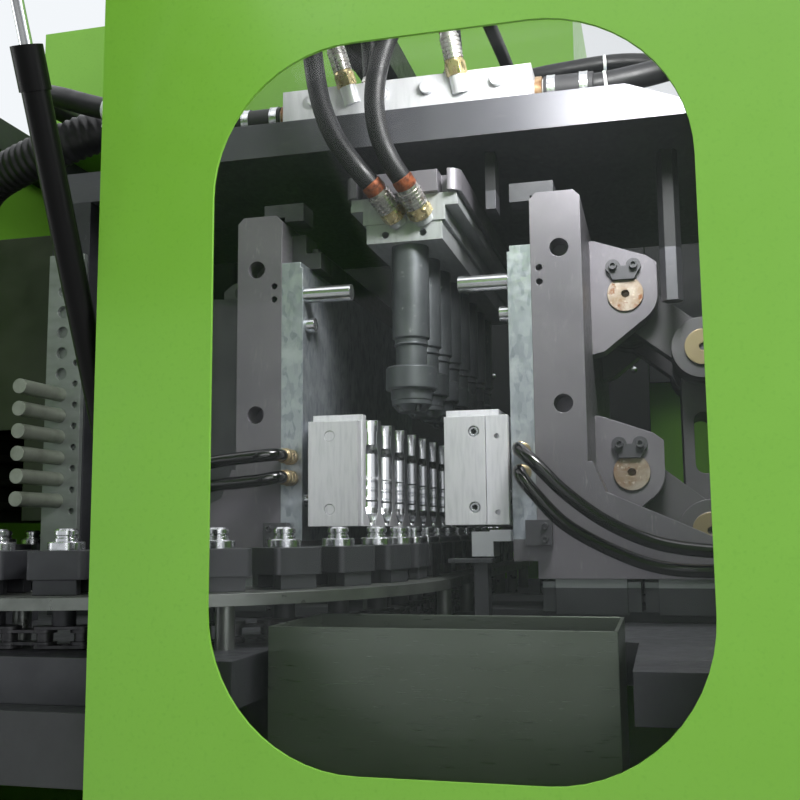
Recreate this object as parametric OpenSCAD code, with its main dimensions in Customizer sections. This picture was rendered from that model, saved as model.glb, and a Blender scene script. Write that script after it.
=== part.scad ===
// Rotary chain blow moulding machine with a two-sided toggle clamp.
// X runs along the front, Y runs to the rear, Z runs up. Millimetres.

/* [Enclosure] */
// Width over the side panels
machine_w = 1800; // [1760:10:2100]
// Depth over the front and rear panels
machine_d = 1520; // [1500:10:1900]
// Height of the green enclosure
machine_h = 1930; // [1900:10:2200]
// Height of the sole of the feet above the bottom of the base frame
foot_h = 70; // [50:5:110]
// Side of the square tube of the enclosure frame
tube = 60; // [40:5:80]
// Thickness of the green sheet
sheet_t = 3; // [2:0.5:4]
// Depth of the folded edge of a green panel
fold_d = 22; // [12:1:26]
// Left edge of the window panel, from the middle of the machine
panel_x = -96.5; // [-110:0.5:-80]
// Width of the window
window_w = 375; // [300:5:450]
// Height of the window
window_h = 563; // [450:5:620]
// Corner radius of the window
window_r = 118; // [60:2:140]
// Left edge of the window, from the middle of the machine
window_x = 5.5; // [0:0.5:30]
// Lower edge of the window above the floor
window_z = 972; // [950:2:1000]
// Thickness of the clear pane
pane_t = 5; // [3:1:8]

/* [Lift door] */
// Lower edge of the lift-up door above the floor
door_z = 905; // [850:5:950]
// Opening angle that the door is held at
door_open = 70; // [40:1:85]
// Distance of the strut stud below the door hinge
strut_r = 240; // [200:5:300]
// Distance of the strut stud behind the door skin
strut_in = 40; // [30:1:60]
// Length of the strut cylinder
strut_body = 400; // [350:5:430]
// Diameter of the strut cylinder
strut_d = 22; // [15:1:28]
// Diameter of the strut rod
strut_rod_d = 10; // [6:1:14]

/* [Clamp] */
// Distance of the clamp's middle plane from the middle of the machine
clamp_x = 50; // [40:1:60]
// Front face of the platens behind the front panel
clamp_y = 450; // [440:2:470]
// Travel of each platen
stroke = 52; // [40:1:60]
// Thickness of a mould half
mould_t = 77; // [60:1:90]
// Thickness of the zinc back plate
back_t = 28; // [20:1:32]
// Thickness of a platen
platen_t = 60; // [45:1:70]
// Height of a platen
platen_h = 456; // [430:2:470]
// Lower edge of the platens above the floor
platen_z = 1093; // [1088:1:1100]
// Height of a mould half
mould_h = 135; // [125:1:140]
// Lower face of the moulds above the floor
mould_z = 1155; // [1150:1:1160]
// Number of cavities
cavities = 8; // [4:1:8]
// Pitch of the cavities and of the mandrels
pitch = 70; // [66:1:76]
// Solid metal beyond the first and last cavity
mould_margin = 43; // [40:1:50]
// Diameter of the bottle's body
bottle_d = 58; // [40:1:60]
// Thickness of the front end blocks of the moulds
end_block_t = 18; // [10:1:25]

/* [Toggle] */
// Length of every toggle link between its pins
link_l = 120; // [110:1:130]
// Height of the upper toggle's straight line above the floor
toggle_top_z = 1452; // [1440:1:1460]
// Height of the lower toggle's straight line above the floor
toggle_low_z = 1220; // [1212:1:1230]
// Distance of the platen pin from the platen's back
pin_out = 44.5; // [43:0.5:52]
// Diameter of the toggle pins
pin_d = 46; // [36:1:48]
// Radius of the knee hubs
hub_r = 39; // [34:1:40]
// Thickness of one link blade
blade_t = 36; // [24:1:40]
// Width of the knee bar
knee_bar_w = 128; // [90:2:140]
// Side clearance between link blades
side_gap = 1; // [0.5:0.1:2]
// Radial clearance of a pin in its hub
fit_gap = 0.06; // [0.03:0.01:0.1]
// Thickness of the fixed tail platens
tail_t = 60; // [50:1:70]

/* [Slideway] */
// Height of the bed's top face above the floor
bed_z = 1044; // [1040:1:1050]
// Thickness of the bed plate
bed_t = 40; // [30:1:50]
// Width of a linear rail
rail_w = 34; // [28:1:45]
// Height of a linear rail
rail_h = 30; // [24:1:32]
// Length of a runner block's steel body
runner_l = 80; // [60:1:90]
// Length of a runner block's end cap
runner_cap = 15; // [8:1:17]
// Pitch of the two runner blocks on a rail
runner_pitch = 114; // [112:1:140]

/* [Top plate] */
// Lower face of the top plate above the floor
top_z = 1628; // [1620:1:1640]
// Thickness of the top plate
top_t = 45; // [35:1:60]
// Half width of the plate's front lip
top_half = 380; // [350:5:420]
// Length of the bevel at each end of the lip
top_bevel = 106; // [60:2:140]

/* [Base moulds] */
// Travel of the base mould unit
base_stroke = 20; // [12:1:24]
// Diameter of a base mould column
column_d = 47; // [36:1:54]
// Diameter of a base mould flange
base_flange_d = 65; // [55:1:67]
// Diameter of the base insert
insert_d = 50; // [40:1:52]
// Width of the water manifold block
block_w = 105; // [90:1:120]
// Width of the lift plate
lift_w = 147; // [130:1:150]
// Thickness of the lift plate
lift_t = 27; // [20:1:30]
// Diameter of the guide rods
guide_d = 25; // [16:1:30]

/* [Mandrel chain] */
// Mandrels round each end of the loop
arc_mandrels = 14; // [14:1:14]
// Mandrels along each straight run
run_mandrels = 10; // [10:1:11]
// Half width of the mandrel track
track_half = 59; // [50:1:59]
// Width of the slot that the carriers run in
track_slot = 26; // [20:1:30]
// Lower face of the track above the floor
track_z = 1083; // [1080:1:1085]
// Thickness of the track
track_t = 11; // [8:1:12]
// Height of a mandrel carrier
carrier_h = 26; // [20:1:30]
// Height of a mandrel above its carrier
mandrel_h = 20; // [12:1:24]
// Diameter of a mandrel's flange
mandrel_flange_d = 34; // [28:1:40]
// Diameter of a mandrel's head
mandrel_d = 22; // [16:1:24]
// Links of the chain between two mandrels
links_per_pitch = 2; // [2:1:2]
// Travel of the stretch rods
stretch_stroke = 220; // [160:5:220]
// Travel of the blow nozzles
blow_stroke = 12; // [8:1:16]

/* [Oven] */
// Height of the stainless oven housing
oven_h = 420; // [300:5:450]
// Number of rods in the holed end plate
rods = 6; // [4:1:7]
// Number of empty holes above the rods
free_holes = 5; // [3:1:6]
// Pitch of the rods and holes
rod_pitch = 30; // [28:0.5:32]
// Diameter of a rod
rod_d = 20; // [12:1:22]
// Length of a rod
rod_l = 96; // [60:2:120]

/* [Hidden] */
$fn = 48;

// Overall planes, measured from the middle of the machine
front_y = -machine_d / 2;
rear_y = machine_d / 2;
half_w = machine_w / 2;
post_y = front_y + fold_d + 8;
divider_x = panel_x;
// Lift door: the hinge line, and the lengths of the leaf and of its strut
hinge_in = 12;
hinge_y = front_y + hinge_in;
hinge_z = machine_h - 28;
leaf_l = hinge_z - door_z;
leaf_gap = 3;
leaf_x0 = -half_w + sheet_t + 4;
leaf_x1 = panel_x - leaf_gap;
door_tip_y = hinge_y - hinge_in * cos(door_open) - leaf_l * sin(door_open);
// The whole machine is centred on its own box, which the open door lengthens
shift_y = -(door_tip_y + rear_y) / 2;
stud_y = hinge_y + (strut_in - hinge_in) * cos(door_open) - strut_r * sin(door_open);
stud_z = hinge_z - (strut_in - hinge_in) * sin(door_open) - strut_r * cos(door_open);
strut_low_y = front_y + 83;
strut_low_z = 1160;
strut_l = norm([stud_y - strut_low_y, stud_z - strut_low_z]);
strut_a = atan2(stud_z - strut_low_z, strut_low_y - stud_y);
strut_xs = [divider_x - 18, -half_w + tube + sheet_t + 22];
// Clamp: distances from its middle plane with the moulds open
clamp_front = front_y + clamp_y;
clamp_l = (cavities - 1) * pitch + 2 * mould_margin;
clamp_mid = clamp_front + clamp_l / 2;
row_y = clamp_front + mould_margin;
mould_in = stroke;
back_in = mould_in + mould_t;
platen_in = back_in + back_t;
platen_out = platen_in + platen_t;
platen_top = platen_z + platen_h;
mould_top = mould_z + mould_h;
// Toggle: the two links of a pair fold by the same angle, and open by the stroke
fold_a = acos(1 - stroke / (2 * link_l));
link_dx = link_l * cos(fold_a);
link_dz = link_l * sin(fold_a);
pin_in = platen_out + pin_out;
knee_in = pin_in + link_dx;
shaft_in = pin_in + 2 * link_dx;
tail_in = shaft_in + hub_r + 3.5;
tail_out = tail_in + tail_t;
core_y0 = clamp_mid - knee_bar_w / 2;
core_y1 = clamp_mid + knee_bar_w / 2;
inner_y0 = core_y0 - side_gap - blade_t;
inner_y1 = core_y1 + side_gap + blade_t;
outer_y0 = inner_y0 - side_gap - blade_t;
outer_y1 = inner_y1 + side_gap + blade_t;
tail_y0 = outer_y0 - 50;
tail_y1 = outer_y1 + 50;
ear_r = hub_r + 2;
keeper_t = 8;
keeper_xs = [-14.5, 11.5];
keeper_h = 36;
keeper_r = 9.5;
keeper_low = pin_d / 2 - 4.7;
wear_t = 12;
// Slideway
rail_y = [clamp_front + 35, clamp_front + clamp_l - 35];
runner_z = bed_z + 9;
runner_w = 66;
rail_in = platen_in - 60;
rail_out = tail_in - 4;
foot_out = platen_in + 2 * runner_cap + runner_l + runner_pitch + 30;
bed_low = bed_z - bed_t;
// Mandrel loop
loop_r = arc_mandrels * pitch / PI;
loop_x = clamp_x - loop_r;
loop_y0 = row_y - pitch;
loop_y1 = loop_y0 + run_mandrels * pitch;
track_top = track_z + track_t;
post_top = track_z - 0.2;
mandrel_top = mould_z - 1;
mandrel_z = mandrel_top - mandrel_h;
carrier_z = mandrel_z - carrier_h;
chain_z = bed_z + 11;
link_p = pitch / links_per_pitch;
stations = 2 * (arc_mandrels + run_mandrels);
function loop_len() = stations * pitch;
// Point and heading at a distance along the loop, from the front of the clamp row
function on_loop(s) =
  let (run = run_mandrels * pitch, arc = arc_mandrels * pitch, d = s % loop_len())
  d < run ? [clamp_x, loop_y0 + d, 90] :
  d < run + arc ? let (a = (d - run) / arc * 180)
    [loop_x + loop_r * cos(a), loop_y1 + loop_r * sin(a), 90 + a] :
  d < 2 * run + arc ? [clamp_x - 2 * loop_r, loop_y1 - (d - run - arc), 270] :
  let (a = 180 + (d - 2 * run - arc) / arc * 180)
    [loop_x + loop_r * cos(a), loop_y0 + loop_r * sin(a), 90 + a];
row_end = row_y + (cavities - 1) * pitch;
slot_half = 34;
slot_end = 25;
tray_x0 = 12.5;
tray_x1 = 309.5;
tray_y0 = front_y + 110;
tray_y1 = tray_y0 + 140;
tray_top = 1068;
tray_low = 868;
tray_t = 3;
shelf_t = 6;
// Stretch and blow unit under the bed
nozzle_t = 33;
nozzle_h = 34;
nozzle_z = chain_z - 21 - blow_stroke - nozzle_h - nozzle_t;
carriage_t = 35;
carriage_z = nozzle_z - 16 - stretch_stroke - carriage_t;
piston_d = 20;
unit_half = 30;
stretch_d = 12;
post_d = 24;
post_ys = [row_y - 45, row_end + 45];
low_plate_z = carriage_z - 70;
low_plate_t = 20;
piston_low = low_plate_z - stretch_stroke - 20;
// Upper works
lift_z = 1563;
lift_top = lift_z + lift_t;
block_z = 1505;
column_top = block_z;
// The inserts sink this far into the mould when the unit comes down
insert_depth = 15;
tip_z = mould_top + base_stroke - insert_depth;
flange_z = tip_z + 27;
neck_z = flange_z + 29;
ring_z = neck_z + 26;
guide_ys = [row_y + pitch, row_y + (cavities - 2) * pitch];
lift_cyl_ys = [row_y + 2.5 * pitch, row_y + (cavities - 3.5) * pitch];
lift_block_y0 = row_y - 34;
lift_block_y1 = row_y + (cavities - 1) * pitch + 34;
manifold_z = top_z + top_t;
manifold_half = 162;
manifold_h = 46;
manifold_bolts = [-118, -29, 31, 120];
// Oven
oven_x0 = -780;
oven_x1 = clamp_x - tail_out - 6;
oven_y0 = clamp_mid - 173;
oven_y1 = clamp_mid + 270;
oven_z = 1168;
oven_wall = 4;
row_out_x = clamp_x - 2 * loop_r;
end_plate_t = 9;
end_plate_y = tail_y0 - end_plate_t;
rod_top_z = 1345;
// Points of the hoses, chosen by hand in the machine's own frame
base_hose_a = [[30, -323, 1552], [26.5, -329.5, 1557.5], [23, -336, 1563], [3, -350, 1588], [-20, -355, 1622],
  [-38, -354, 1665], [-48, -352, 1710], [-54, -348, 1760], [-52, -342, 1800], [-44, -325, 1828],
  [-34, -290, 1848], [-25, -245, 1850], [-21, -206, 1826], [-20, -195, 1785],
  [-20, -195, 1766], [-20, -195, 1748]];
base_hose_b = [[66, -323, 1554], [63.5, -329.5, 1560], [61, -336, 1566], [47, -350, 1590], [34, -355, 1624],
  [28, -354, 1668], [34, -352, 1715], [50, -348, 1762], [68, -342, 1800], [80, -325, 1828],
  [88, -290, 1848], [93, -245, 1850], [95, -206, 1826], [96, -195, 1785],
  [96, -195, 1766], [96, -195, 1748]];
feed_hose_a = [[-27, -306, 1733], [-29.5, -309, 1743], [-32, -312, 1753], [-40, -314, 1776],
  [-54, -306, 1802], [-70, -290, 1828], [-82, -256, 1849], [-85, -190, 1856], [-80, -80, 1857],
  [-54, 50, 1856], [-20, 170, 1858], [-11, 258, 1868], [-10, 312, 1888], [-10, 328, 1910],
  [-10, 328, 1920], [-10, 328, 1929.8]];
feed_hose_b = [[117.8, -306, 1731], [116.3, -309, 1741], [114.8, -312, 1751],
  [110, -316, 1776], [108, -312, 1802], [114, -296, 1832], [123, -262, 1857],
  [128, -190, 1872], [132, -60, 1880], [136, 100, 1884], [138, 220, 1886], [139, 292, 1894],
  [140, 324, 1910], [140, 330, 1917], [140, 330, 1923], [140, 330, 1929.8]];
side_hose_right = [[274.2, -261, 1696], [283, -261, 1696], [292, -261, 1696],
  [350, -258, 1704], [410, -240, 1722], [470, -205, 1742], [530, -150, 1762], [560, -60, 1780],
  [550, 50, 1800], [505, 150, 1820], [430, 240, 1836], [345, 308, 1842], [275, 350, 1848],
  [225, 376, 1862], [200, 389, 1882], [195, 390, 1904], [195, 390, 1917], [195, 390, 1929.8]];
side_hose_left = [[-174.2, -261, 1696], [-184, -261, 1696], [-194, -261, 1696],
  [-260, -264, 1706], [-330, -270, 1722], [-400, -274, 1742], [-460, -268, 1765],
  [-520, -240, 1790], [-560, -180, 1815], [-585, -90, 1835], [-590, 10, 1848],
  [-585, 110, 1856], [-575, 210, 1860], [-562, 290, 1864], [-554, 345, 1871],
  [-550, 378, 1888], [-550, 386, 1907], [-550, 386, 1918], [-550, 386, 1929.8]];
duct_hose = [[-700, -120, 1588.2], [-700, -120, 1597], [-700, -120, 1606], [-697, -126, 1628],
  [-686, -142, 1652], [-662, -163, 1671], [-624, -186, 1684], [-576, -200, 1696],
  [-524, -206, 1711], [-470, -202, 1730], [-414, -180, 1754], [-364, -130, 1778],
  [-333, -50, 1800], [-320, 50, 1814], [-320, 150, 1824], [-320, 230, 1830], [-320, 298, 1840],
  [-320, 346, 1860], [-320, 374, 1886], [-320, 381, 1910], [-320, 381, 1920],
  [-320, 381, 1929.8]];
bundle = [[-250, 382, 1929.8], [-250, 382, 1920], [-250, 382, 1910], [-244, 370, 1888],
  [-228, 330, 1864], [-190, 250, 1848], [-160, 140, 1835], [-150, 40, 1815],
  [-150, -50, 1790], [-140, -120, 1765], [-100, -150, 1753], [-30, -158, 1752],
  [60, -156, 1754], [150, -160, 1758], [240, -166, 1764], [330, -160, 1768],
  [420, -130, 1758], [510, -70, 1735], [600, 20, 1715], [660, 110, 1702], [674, 168, 1696],
  [664, 210, 1693], [642, 228, 1692], [622, 231, 1692], [613, 231, 1692], [604.2, 231, 1692]];
// Clamp water hoses, as distances from the clamp's middle plane: lower and upper on the right,
// where they hang in a bow, and on the left, where they run nearly level
water_hose_starts = [[143, -340.2, 1214], [143, -345, 1214], [143, -350, 1214]];
water_hoses_r = [
  [[146, -358, 1208], [162, -365, 1188], [192, -362, 1156], [238, -350, 1128],
   [290, -340, 1108], [340, -340, 1103], [368, -338, 1105], [383, -330, 1107],
   [385, -322, 1107], [385, -316, 1107], [385, -310.2, 1107]],
  [[146, -360, 1237], [163, -372, 1222], [192, -374, 1192], [236, -366, 1158],
   [288, -354, 1134], [340, -348, 1125], [374, -344, 1124], [388, -334, 1124],
   [390, -324, 1124], [390, -317, 1124], [390, -310.2, 1124]]];
water_hoses_l = [
  [[146, -358, 1213], [160, -366, 1210], [190, -368, 1207], [217, -366, 1205],
   [262, -360, 1196], [306, -352, 1172], [345, -344, 1138], [372, -338, 1114],
   [383, -330, 1107], [385, -322, 1107], [385, -316, 1107], [385, -310.2, 1107]],
  [[146, -360, 1240], [160, -370, 1238], [190, -374, 1235], [218, -373, 1232],
   [266, -370, 1222], [314, -364, 1196], [354, -356, 1160], [380, -346, 1132],
   [390, -334, 1124], [390, -324, 1124], [390, -317, 1124], [390, -310.2, 1124]]];

/* Helpers */
module seated() translate([0, shift_y, 0]) children();
module block(lo, hi) translate(lo) cube(hi - lo);
// An outline in X and Z, pushed back along Y from y0 to y1
module slab_y(y0, y1) translate([0, y1, 0]) rotate([90, 0, 0]) linear_extrude(y1 - y0) children();
// An outline in Y and Z, pushed along X from x0 to x1
module slab_x(x0, x1)
  translate([x0, 0, 0]) rotate([90, 0, 90]) linear_extrude(x1 - x0) children();
module rod_y(x, z, y0, y1, d)
  translate([x, y0, z]) rotate([-90, 0, 0]) cylinder(d = d, h = y1 - y0);
module rod_x(y, z, x0, x1, d)
  translate([x0, y, z]) rotate([0, 90, 0]) cylinder(d = d, h = x1 - x0);
module rod_z(x, y, z0, z1, d) translate([x, y, z0]) cylinder(d = d, h = z1 - z0);
// A round bar between any two points
module stub(p, q, d) let (v = q - p, l = norm(v))
  translate(p) rotate([0, acos(v.z / l), atan2(v.y, v.x)]) cylinder(d = d, h = l);
module rounded(lo, hi, r) {
  translate([lo.x + r, lo.y]) square([hi.x - lo.x - 2 * r, hi.y - lo.y]);
  translate([lo.x, lo.y + r]) square([hi.x - lo.x, hi.y - lo.y - 2 * r]);
  for (x = [lo.x + r, hi.x - r]) for (y = [lo.y + r, hi.y - r]) translate([x, y]) circle(r);
}
// A square tube along X, Y or Z between two corners
module tube_x(x0, x1, y, z) difference() {
  block([x0, y, z], [x1, y + tube, z + tube]);
  block([x0 - 1, y + 4, z + 4], [x1 + 1, y + tube - 4, z + tube - 4]);
}
module tube_y(y0, y1, x, z) difference() {
  block([x, y0, z], [x + tube, y1, z + tube]);
  block([x + 4, y0 - 1, z + 4], [x + tube - 4, y1 + 1, z + tube - 4]);
}
module tube_z(z0, z1, x, y) difference() {
  block([x, y, z0], [x + tube, y + tube, z1]);
  block([x + 4, y + 4, z0 - 1], [x + tube - 4, y + tube - 4, z1 + 1]);
}
// Socket cap screw with its head pointing along -Y, seated at y
module screw_y(x, z, y, d) difference() {
  rod_y(x, z, y - d, y, 1.5 * d);
  rod_y(x, z, y - d - 1, y - d / 2, 0.85 * d);
}
module screw_x(y, z, x, d, way) difference() {
  rod_x(y, z, min(x, x + way * d), max(x, x + way * d), 1.5 * d);
  rod_x(y, z, min(x + way * d / 2, x + way * (d + 1)), max(x + way * d / 2, x + way * (d + 1)),
    0.85 * d);
}
module screw_z(x, y, z, d) difference() {
  rod_z(x, y, z, z + d, 1.5 * d);
  rod_z(x, y, z + d / 2, z + d + 1, 0.85 * d);
}
// One side of the clamp: +1 is the right side and -1 is the left side
module side(s) seated() translate([clamp_x, 0, 0]) {
  if (s > 0) children();
  else mirror([1, 0, 0]) children();
}
// A round tube swept along points with rings of n sides
function unit(v) = v / norm(v);
function heading(p, i) = unit(p[min(i + 1, len(p) - 1)] - p[max(i - 1, 0)]);
function across(t) = unit(cross(t, abs(t.z) < 0.8 ? [0, 0, 1] : [1, 0, 0]));
function carry(p, i) = i == 0 ? across(heading(p, 0)) :
  let (t = heading(p, i), u = carry(p, i - 1)) unit(u - (u * t) * t);
function blend_pts(p, m) = [for (i = [0:len(p) - 2]) for (k = [0:m - 1])
    let (a = p[max(i - 1, 0)], b = p[i], c = p[i + 1], d = p[min(i + 2, len(p) - 1)], u = k / m)
    0.5 * ((2 * b) + (c - a) * u + (2 * a - 5 * b + 4 * c - d) * u * u
      + (3 * b - a - 3 * c + d) * u * u * u), p[len(p) - 1]];
module sweep(points, d, n = 8, m = 2) {
  p = blend_pts(points, m);
  rings = [for (i = [0:len(p) - 1]) let (t = heading(p, i), u = carry(p, i), v = cross(t, u))
    [for (k = [0:n - 1]) p[i] + d / 2 * (cos(360 * k / n) * u + sin(360 * k / n) * v)]];
  last = (len(p) - 1) * n;
  polyhedron([for (ring = rings) each ring],
    [[for (k = [0:n - 1]) k],
     for (i = [0:len(p) - 2]) for (k = [0:n - 1])
       each [[i * n + k, (i + 1) * n + k, i * n + (k + 1) % n],
             [i * n + (k + 1) % n, (i + 1) * n + k, (i + 1) * n + (k + 1) % n]],
     [for (k = [n - 1:-1:0]) last + k]]);
}

/* Enclosure */
cell_x = [-half_w + sheet_t, divider_x, half_w - sheet_t - tube];
cell_y = [post_y, -tube / 2, rear_y - sheet_t - tube];
weld_gap = 0.1;
// Beams between the posts of a ring at height z, over the given rows and columns
module ring(z, xs, ys) {
  for (y = ys) for (i = [0:len(xs) - 2])
    tube_x(xs[i] + tube + weld_gap, xs[i + 1] - weld_gap, y, z);
  for (x = xs) for (i = [0:len(ys) - 2])
    tube_y(ys[i] + tube + weld_gap, ys[i + 1] - weld_gap, x, z);
}
module base_frame() color("dimgray") seated() {
  ring(foot_h, cell_x, cell_y);
  difference() {
    ring(bed_low - tube - weld_gap, cell_x, cell_y);
    nozzle_bay();
    // The beam in front of the tray sits lower, so that the window shows the tray
    block([cell_x[1] + tube, post_y - 1, bed_low - tube - 1],
      [cell_x[2], post_y + tube + 1, bed_low]);
  }
  tube_x(cell_x[1] + tube + weld_gap, cell_x[2] - weld_gap, post_y,
    tray_low - shelf_t - tube - weld_gap);
  // Posts with closed lower ends for the feet
  for (x = cell_x) for (y = cell_y) {
    tube_z(foot_h, bed_low - weld_gap, x, y);
    block([x, y, foot_h], [x + tube, y + tube, foot_h + 6]);
  }
  // Shelf and stays of the stainless tray on the lower beam
  y0 = post_y + tube + weld_gap;
  block([tray_x0, post_y, tray_low - shelf_t], [tray_x1, tray_y1, tray_low]);
  for (x = [tray_x0 + 20, tray_x1 - 32])
    slab_x(x, x + 12) polygon([[y0, tray_low - shelf_t - weld_gap],
      [tray_y1, tray_low - shelf_t - weld_gap], [y0, tray_low - shelf_t - tube]]);
}
// The space under the bed that the stretch and blow unit works in
module nozzle_bay() block([clamp_x - 62, clamp_front - 60, foot_h + tube + 1],
  [clamp_x + 62, clamp_front + clamp_l + 60, bed_z]);
module levelling_feet() color("darkgray") seated() {
  for (x = cell_x) for (y = cell_y) translate([x + tube / 2, y + tube / 2, 0]) {
    cylinder(d = 58, h = 14);
    rod_z(0, 0, 14, foot_h, 20);
    translate([0, 0, foot_h - 34]) cylinder(d = 34, h = 14, $fn = 6);
  }
}
module bed_plate() color("gray") seated() difference() {
  block([cell_x[0] + tube / 2, cell_y[0] + tube / 2, bed_low],
    [cell_x[2] + tube / 2, cell_y[2] + tube / 2, bed_z]);
  // Notches round the posts
  for (x = cell_x) for (y = [cell_y[0], cell_y[2]])
    block([x, y, bed_low - 1], [x + tube, y + tube, bed_z + 1]);
  // Slot under the clamp row for the rods and nozzles
  block([clamp_x - slot_half, row_y - slot_end, bed_low - 1],
    [clamp_x + slot_half, row_end + slot_end, bed_z + 1]);
  // Notch that the stainless tray drops into
  block([tray_x0 - 12, cell_y[0], bed_low - 1], [tray_x1 + 12, tray_y1 + 12, bed_z + 1]);
  // Drain of the oven side
  rod_z(oven_x0 + 60, 0, bed_low - 1, bed_z + 1, 60);
}
module enclosure_frame() color("dimgray") seated() {
  for (x = cell_x) for (y = [cell_y[0], cell_y[2]])
    tube_z(bed_low, machine_h, x, y);
  ring(machine_h - tube, cell_x, [cell_y[0], cell_y[2]]);
}
// A green sheet with folded edges, seen as an outline in X and Z
module folded_panel(x0, x1, z0, z1, deep) difference() {
  block([x0, 0, z0], [x1, deep, z1]);
  block([x0 + sheet_t, sheet_t, z0 + sheet_t], [x1 - sheet_t, deep + 1, z1 - sheet_t]);
}
module window_hole(grow) rounded([window_x - grow, window_z - grow],
  [window_x + window_w + grow, window_z + window_h + grow], window_r + grow);
module front_guard_panel() color("yellowgreen") seated() difference() {
  translate([0, front_y, 0])
    folded_panel(panel_x, half_w - sheet_t - leaf_gap, foot_h + 30, machine_h - 5,
      post_y - front_y);
  slab_y(front_y - 1, front_y + sheet_t + 1) window_hole(0);
}
module window_pane() color("lightcyan", 0.3) seated() {
  slab_y(front_y + sheet_t, front_y + sheet_t + pane_t) window_hole(22);
}
module body_panels() color("yellowgreen") seated() {
  // Fixed panel under the door
  translate([0, front_y, 0])
    folded_panel(leaf_x0, leaf_x1, foot_h + 30, door_z - leaf_gap, post_y - front_y);
  // Side panels and rear panel
  for (x = [-half_w, half_w - sheet_t])
    block([x, front_y + leaf_gap, foot_h + 30], [x + sheet_t, rear_y, machine_h]);
  block([-half_w + sheet_t, rear_y - sheet_t, foot_h + 30],
    [half_w - sheet_t, rear_y, machine_h]);
}
cabinet_x0 = -872;
cabinet_x1 = 223;
cabinet_y0 = 300;
cabinet_h = 262;
module upper_cabinet() color("yellowgreen") seated() {
  difference() {
    block([cabinet_x0, cabinet_y0, machine_h], [cabinet_x1, rear_y, machine_h + cabinet_h]);
    // Service door joint and two grip hollows on the rear
    block([cabinet_x0 + 30, rear_y - 2, machine_h + 30], [cabinet_x1 - 30, rear_y + 1,
      machine_h + 33]);
    for (x = [cabinet_x0 + 300, cabinet_x1 - 300])
      slab_y(rear_y - 14, rear_y + 1) rounded([x - 50, machine_h + 120], [x + 50, machine_h + 150],
        14);
  }
}
module door_hinges() color("silver") seated() {
  for (x = [leaf_x0 + 90, leaf_x1 - 150]) {
    // Fixed knuckles and pin on a leaf screwed under the top beam
    block([x, hinge_y + 9, machine_h - tube - 4], [x + 60, post_y + tube, machine_h - tube]);
    block([x, hinge_y + 9, machine_h - tube], [x + 60, post_y, hinge_z + 6]);
    for (k = [0, 1]) rod_x(hinge_y, hinge_z, x + 40 * k, x + 40 * k + 20, 18);
    for (k = [0, 1]) block([x + 40 * k, hinge_y, hinge_z - 4], [x + 40 * k + 20, hinge_y + 10,
      hinge_z + 4]);
    rod_x(hinge_y, hinge_z, x + 20, x + 40, 8);
  }
  // Studs that carry the lower ends of the gas struts
  rod_x(strut_low_y, strut_low_z, strut_xs[0] + 2 - strut_d / 2, divider_x - 3, 8);
  block([divider_x - 5, strut_low_y - 20, strut_low_z - 20], [divider_x, strut_low_y + 20,
    strut_low_z + 20]);
  rod_x(strut_low_y, strut_low_z, strut_xs[1] - strut_d / 2, strut_xs[1] - 2 + strut_d / 2, 8);
  block([cell_x[0] + tube, strut_low_y - 20, strut_low_z - 20],
    [strut_xs[1] - strut_d / 2, strut_low_y + 20, strut_low_z + 20]);
}
// The door leaf's own frame: skin at -hinge_in, hanging down from the hinge line when shut
module door_pose() seated() translate([0, hinge_y, hinge_z]) rotate([-door_open, 0, 0]) children();
module lift_door() color("yellowgreen") door_pose() {
  translate([0, -hinge_in, 0]) difference() {
    folded_panel(leaf_x0, leaf_x1, -leaf_l, -14, fold_d);
    for (x = [leaf_x0 + 90, leaf_x1 - 150])
      block([x - 2, sheet_t, -40], [x + 62, fold_d + 2, -10]);
  }
  for (x = [leaf_x0 + 90, leaf_x1 - 150]) difference() {
    union() {
      rod_x(0, 0, x + 21, x + 39, 18);
      block([x + 21, -9, -44], [x + 39, -3, 0]);
    }
    rod_x(0, 0, x + 20, x + 40, 8 + 2 * fit_gap);
  }
  // Strut studs on their plates
  for (i = [0, 1]) let (x = strut_xs[i], w = i == 0 ? 1 : -1) {
    block([min(x + 12 * w, x + 16 * w), sheet_t - hinge_in, -strut_r - 25],
      [max(x + 12 * w, x + 16 * w), strut_in - hinge_in + 12, -strut_r + 25]);
    rod_x(strut_in - hinge_in, -strut_r, min(x + 9 * w, x + 12 * w), max(x + 9 * w, x + 12 * w), 8);
  }
  // Stiffening rib and grip
  block([leaf_x0 + 60, sheet_t - hinge_in, -leaf_l / 2 - 20],
    [leaf_x1 - 60, sheet_t - hinge_in + 18, -leaf_l / 2 + 20]);
}
// The strut's own frame: +Z along it, from the lower stud to the door stud
module strut_pose(i) seated() translate([strut_xs[i], strut_low_y, strut_low_z])
  rotate([90 - strut_a, 0, 0]) children();
module strut_cylinders() color("black") for (i = [0, 1]) strut_pose(i) difference() {
  union() {
    rod_z(0, 0, 14, strut_body, strut_d);
    rod_z(0, 0, strut_body - 34, strut_body, strut_d + 3);
    rod_x(0, 0, -6, 6, 20);
    rod_z(0, 0, 6, 14, 12);
  }
  rod_x(0, 0, -7, 7, 8 + 2 * fit_gap);
  rod_z(0, 0, 60, strut_body + 1, strut_rod_d + 2 * fit_gap);
}
module strut_rods() color("silver") for (i = [0, 1]) strut_pose(i) difference() {
  union() {
    rod_z(0, 0, strut_l - 10 - (strut_body - 100), strut_l - 8, strut_rod_d);
    rod_x(0, strut_l, -8, 8, 20);
    rod_z(0, 0, strut_l - 26, strut_l - 8, 14);
  }
  rod_x(0, strut_l, -9, 9, 10);
}

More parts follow.
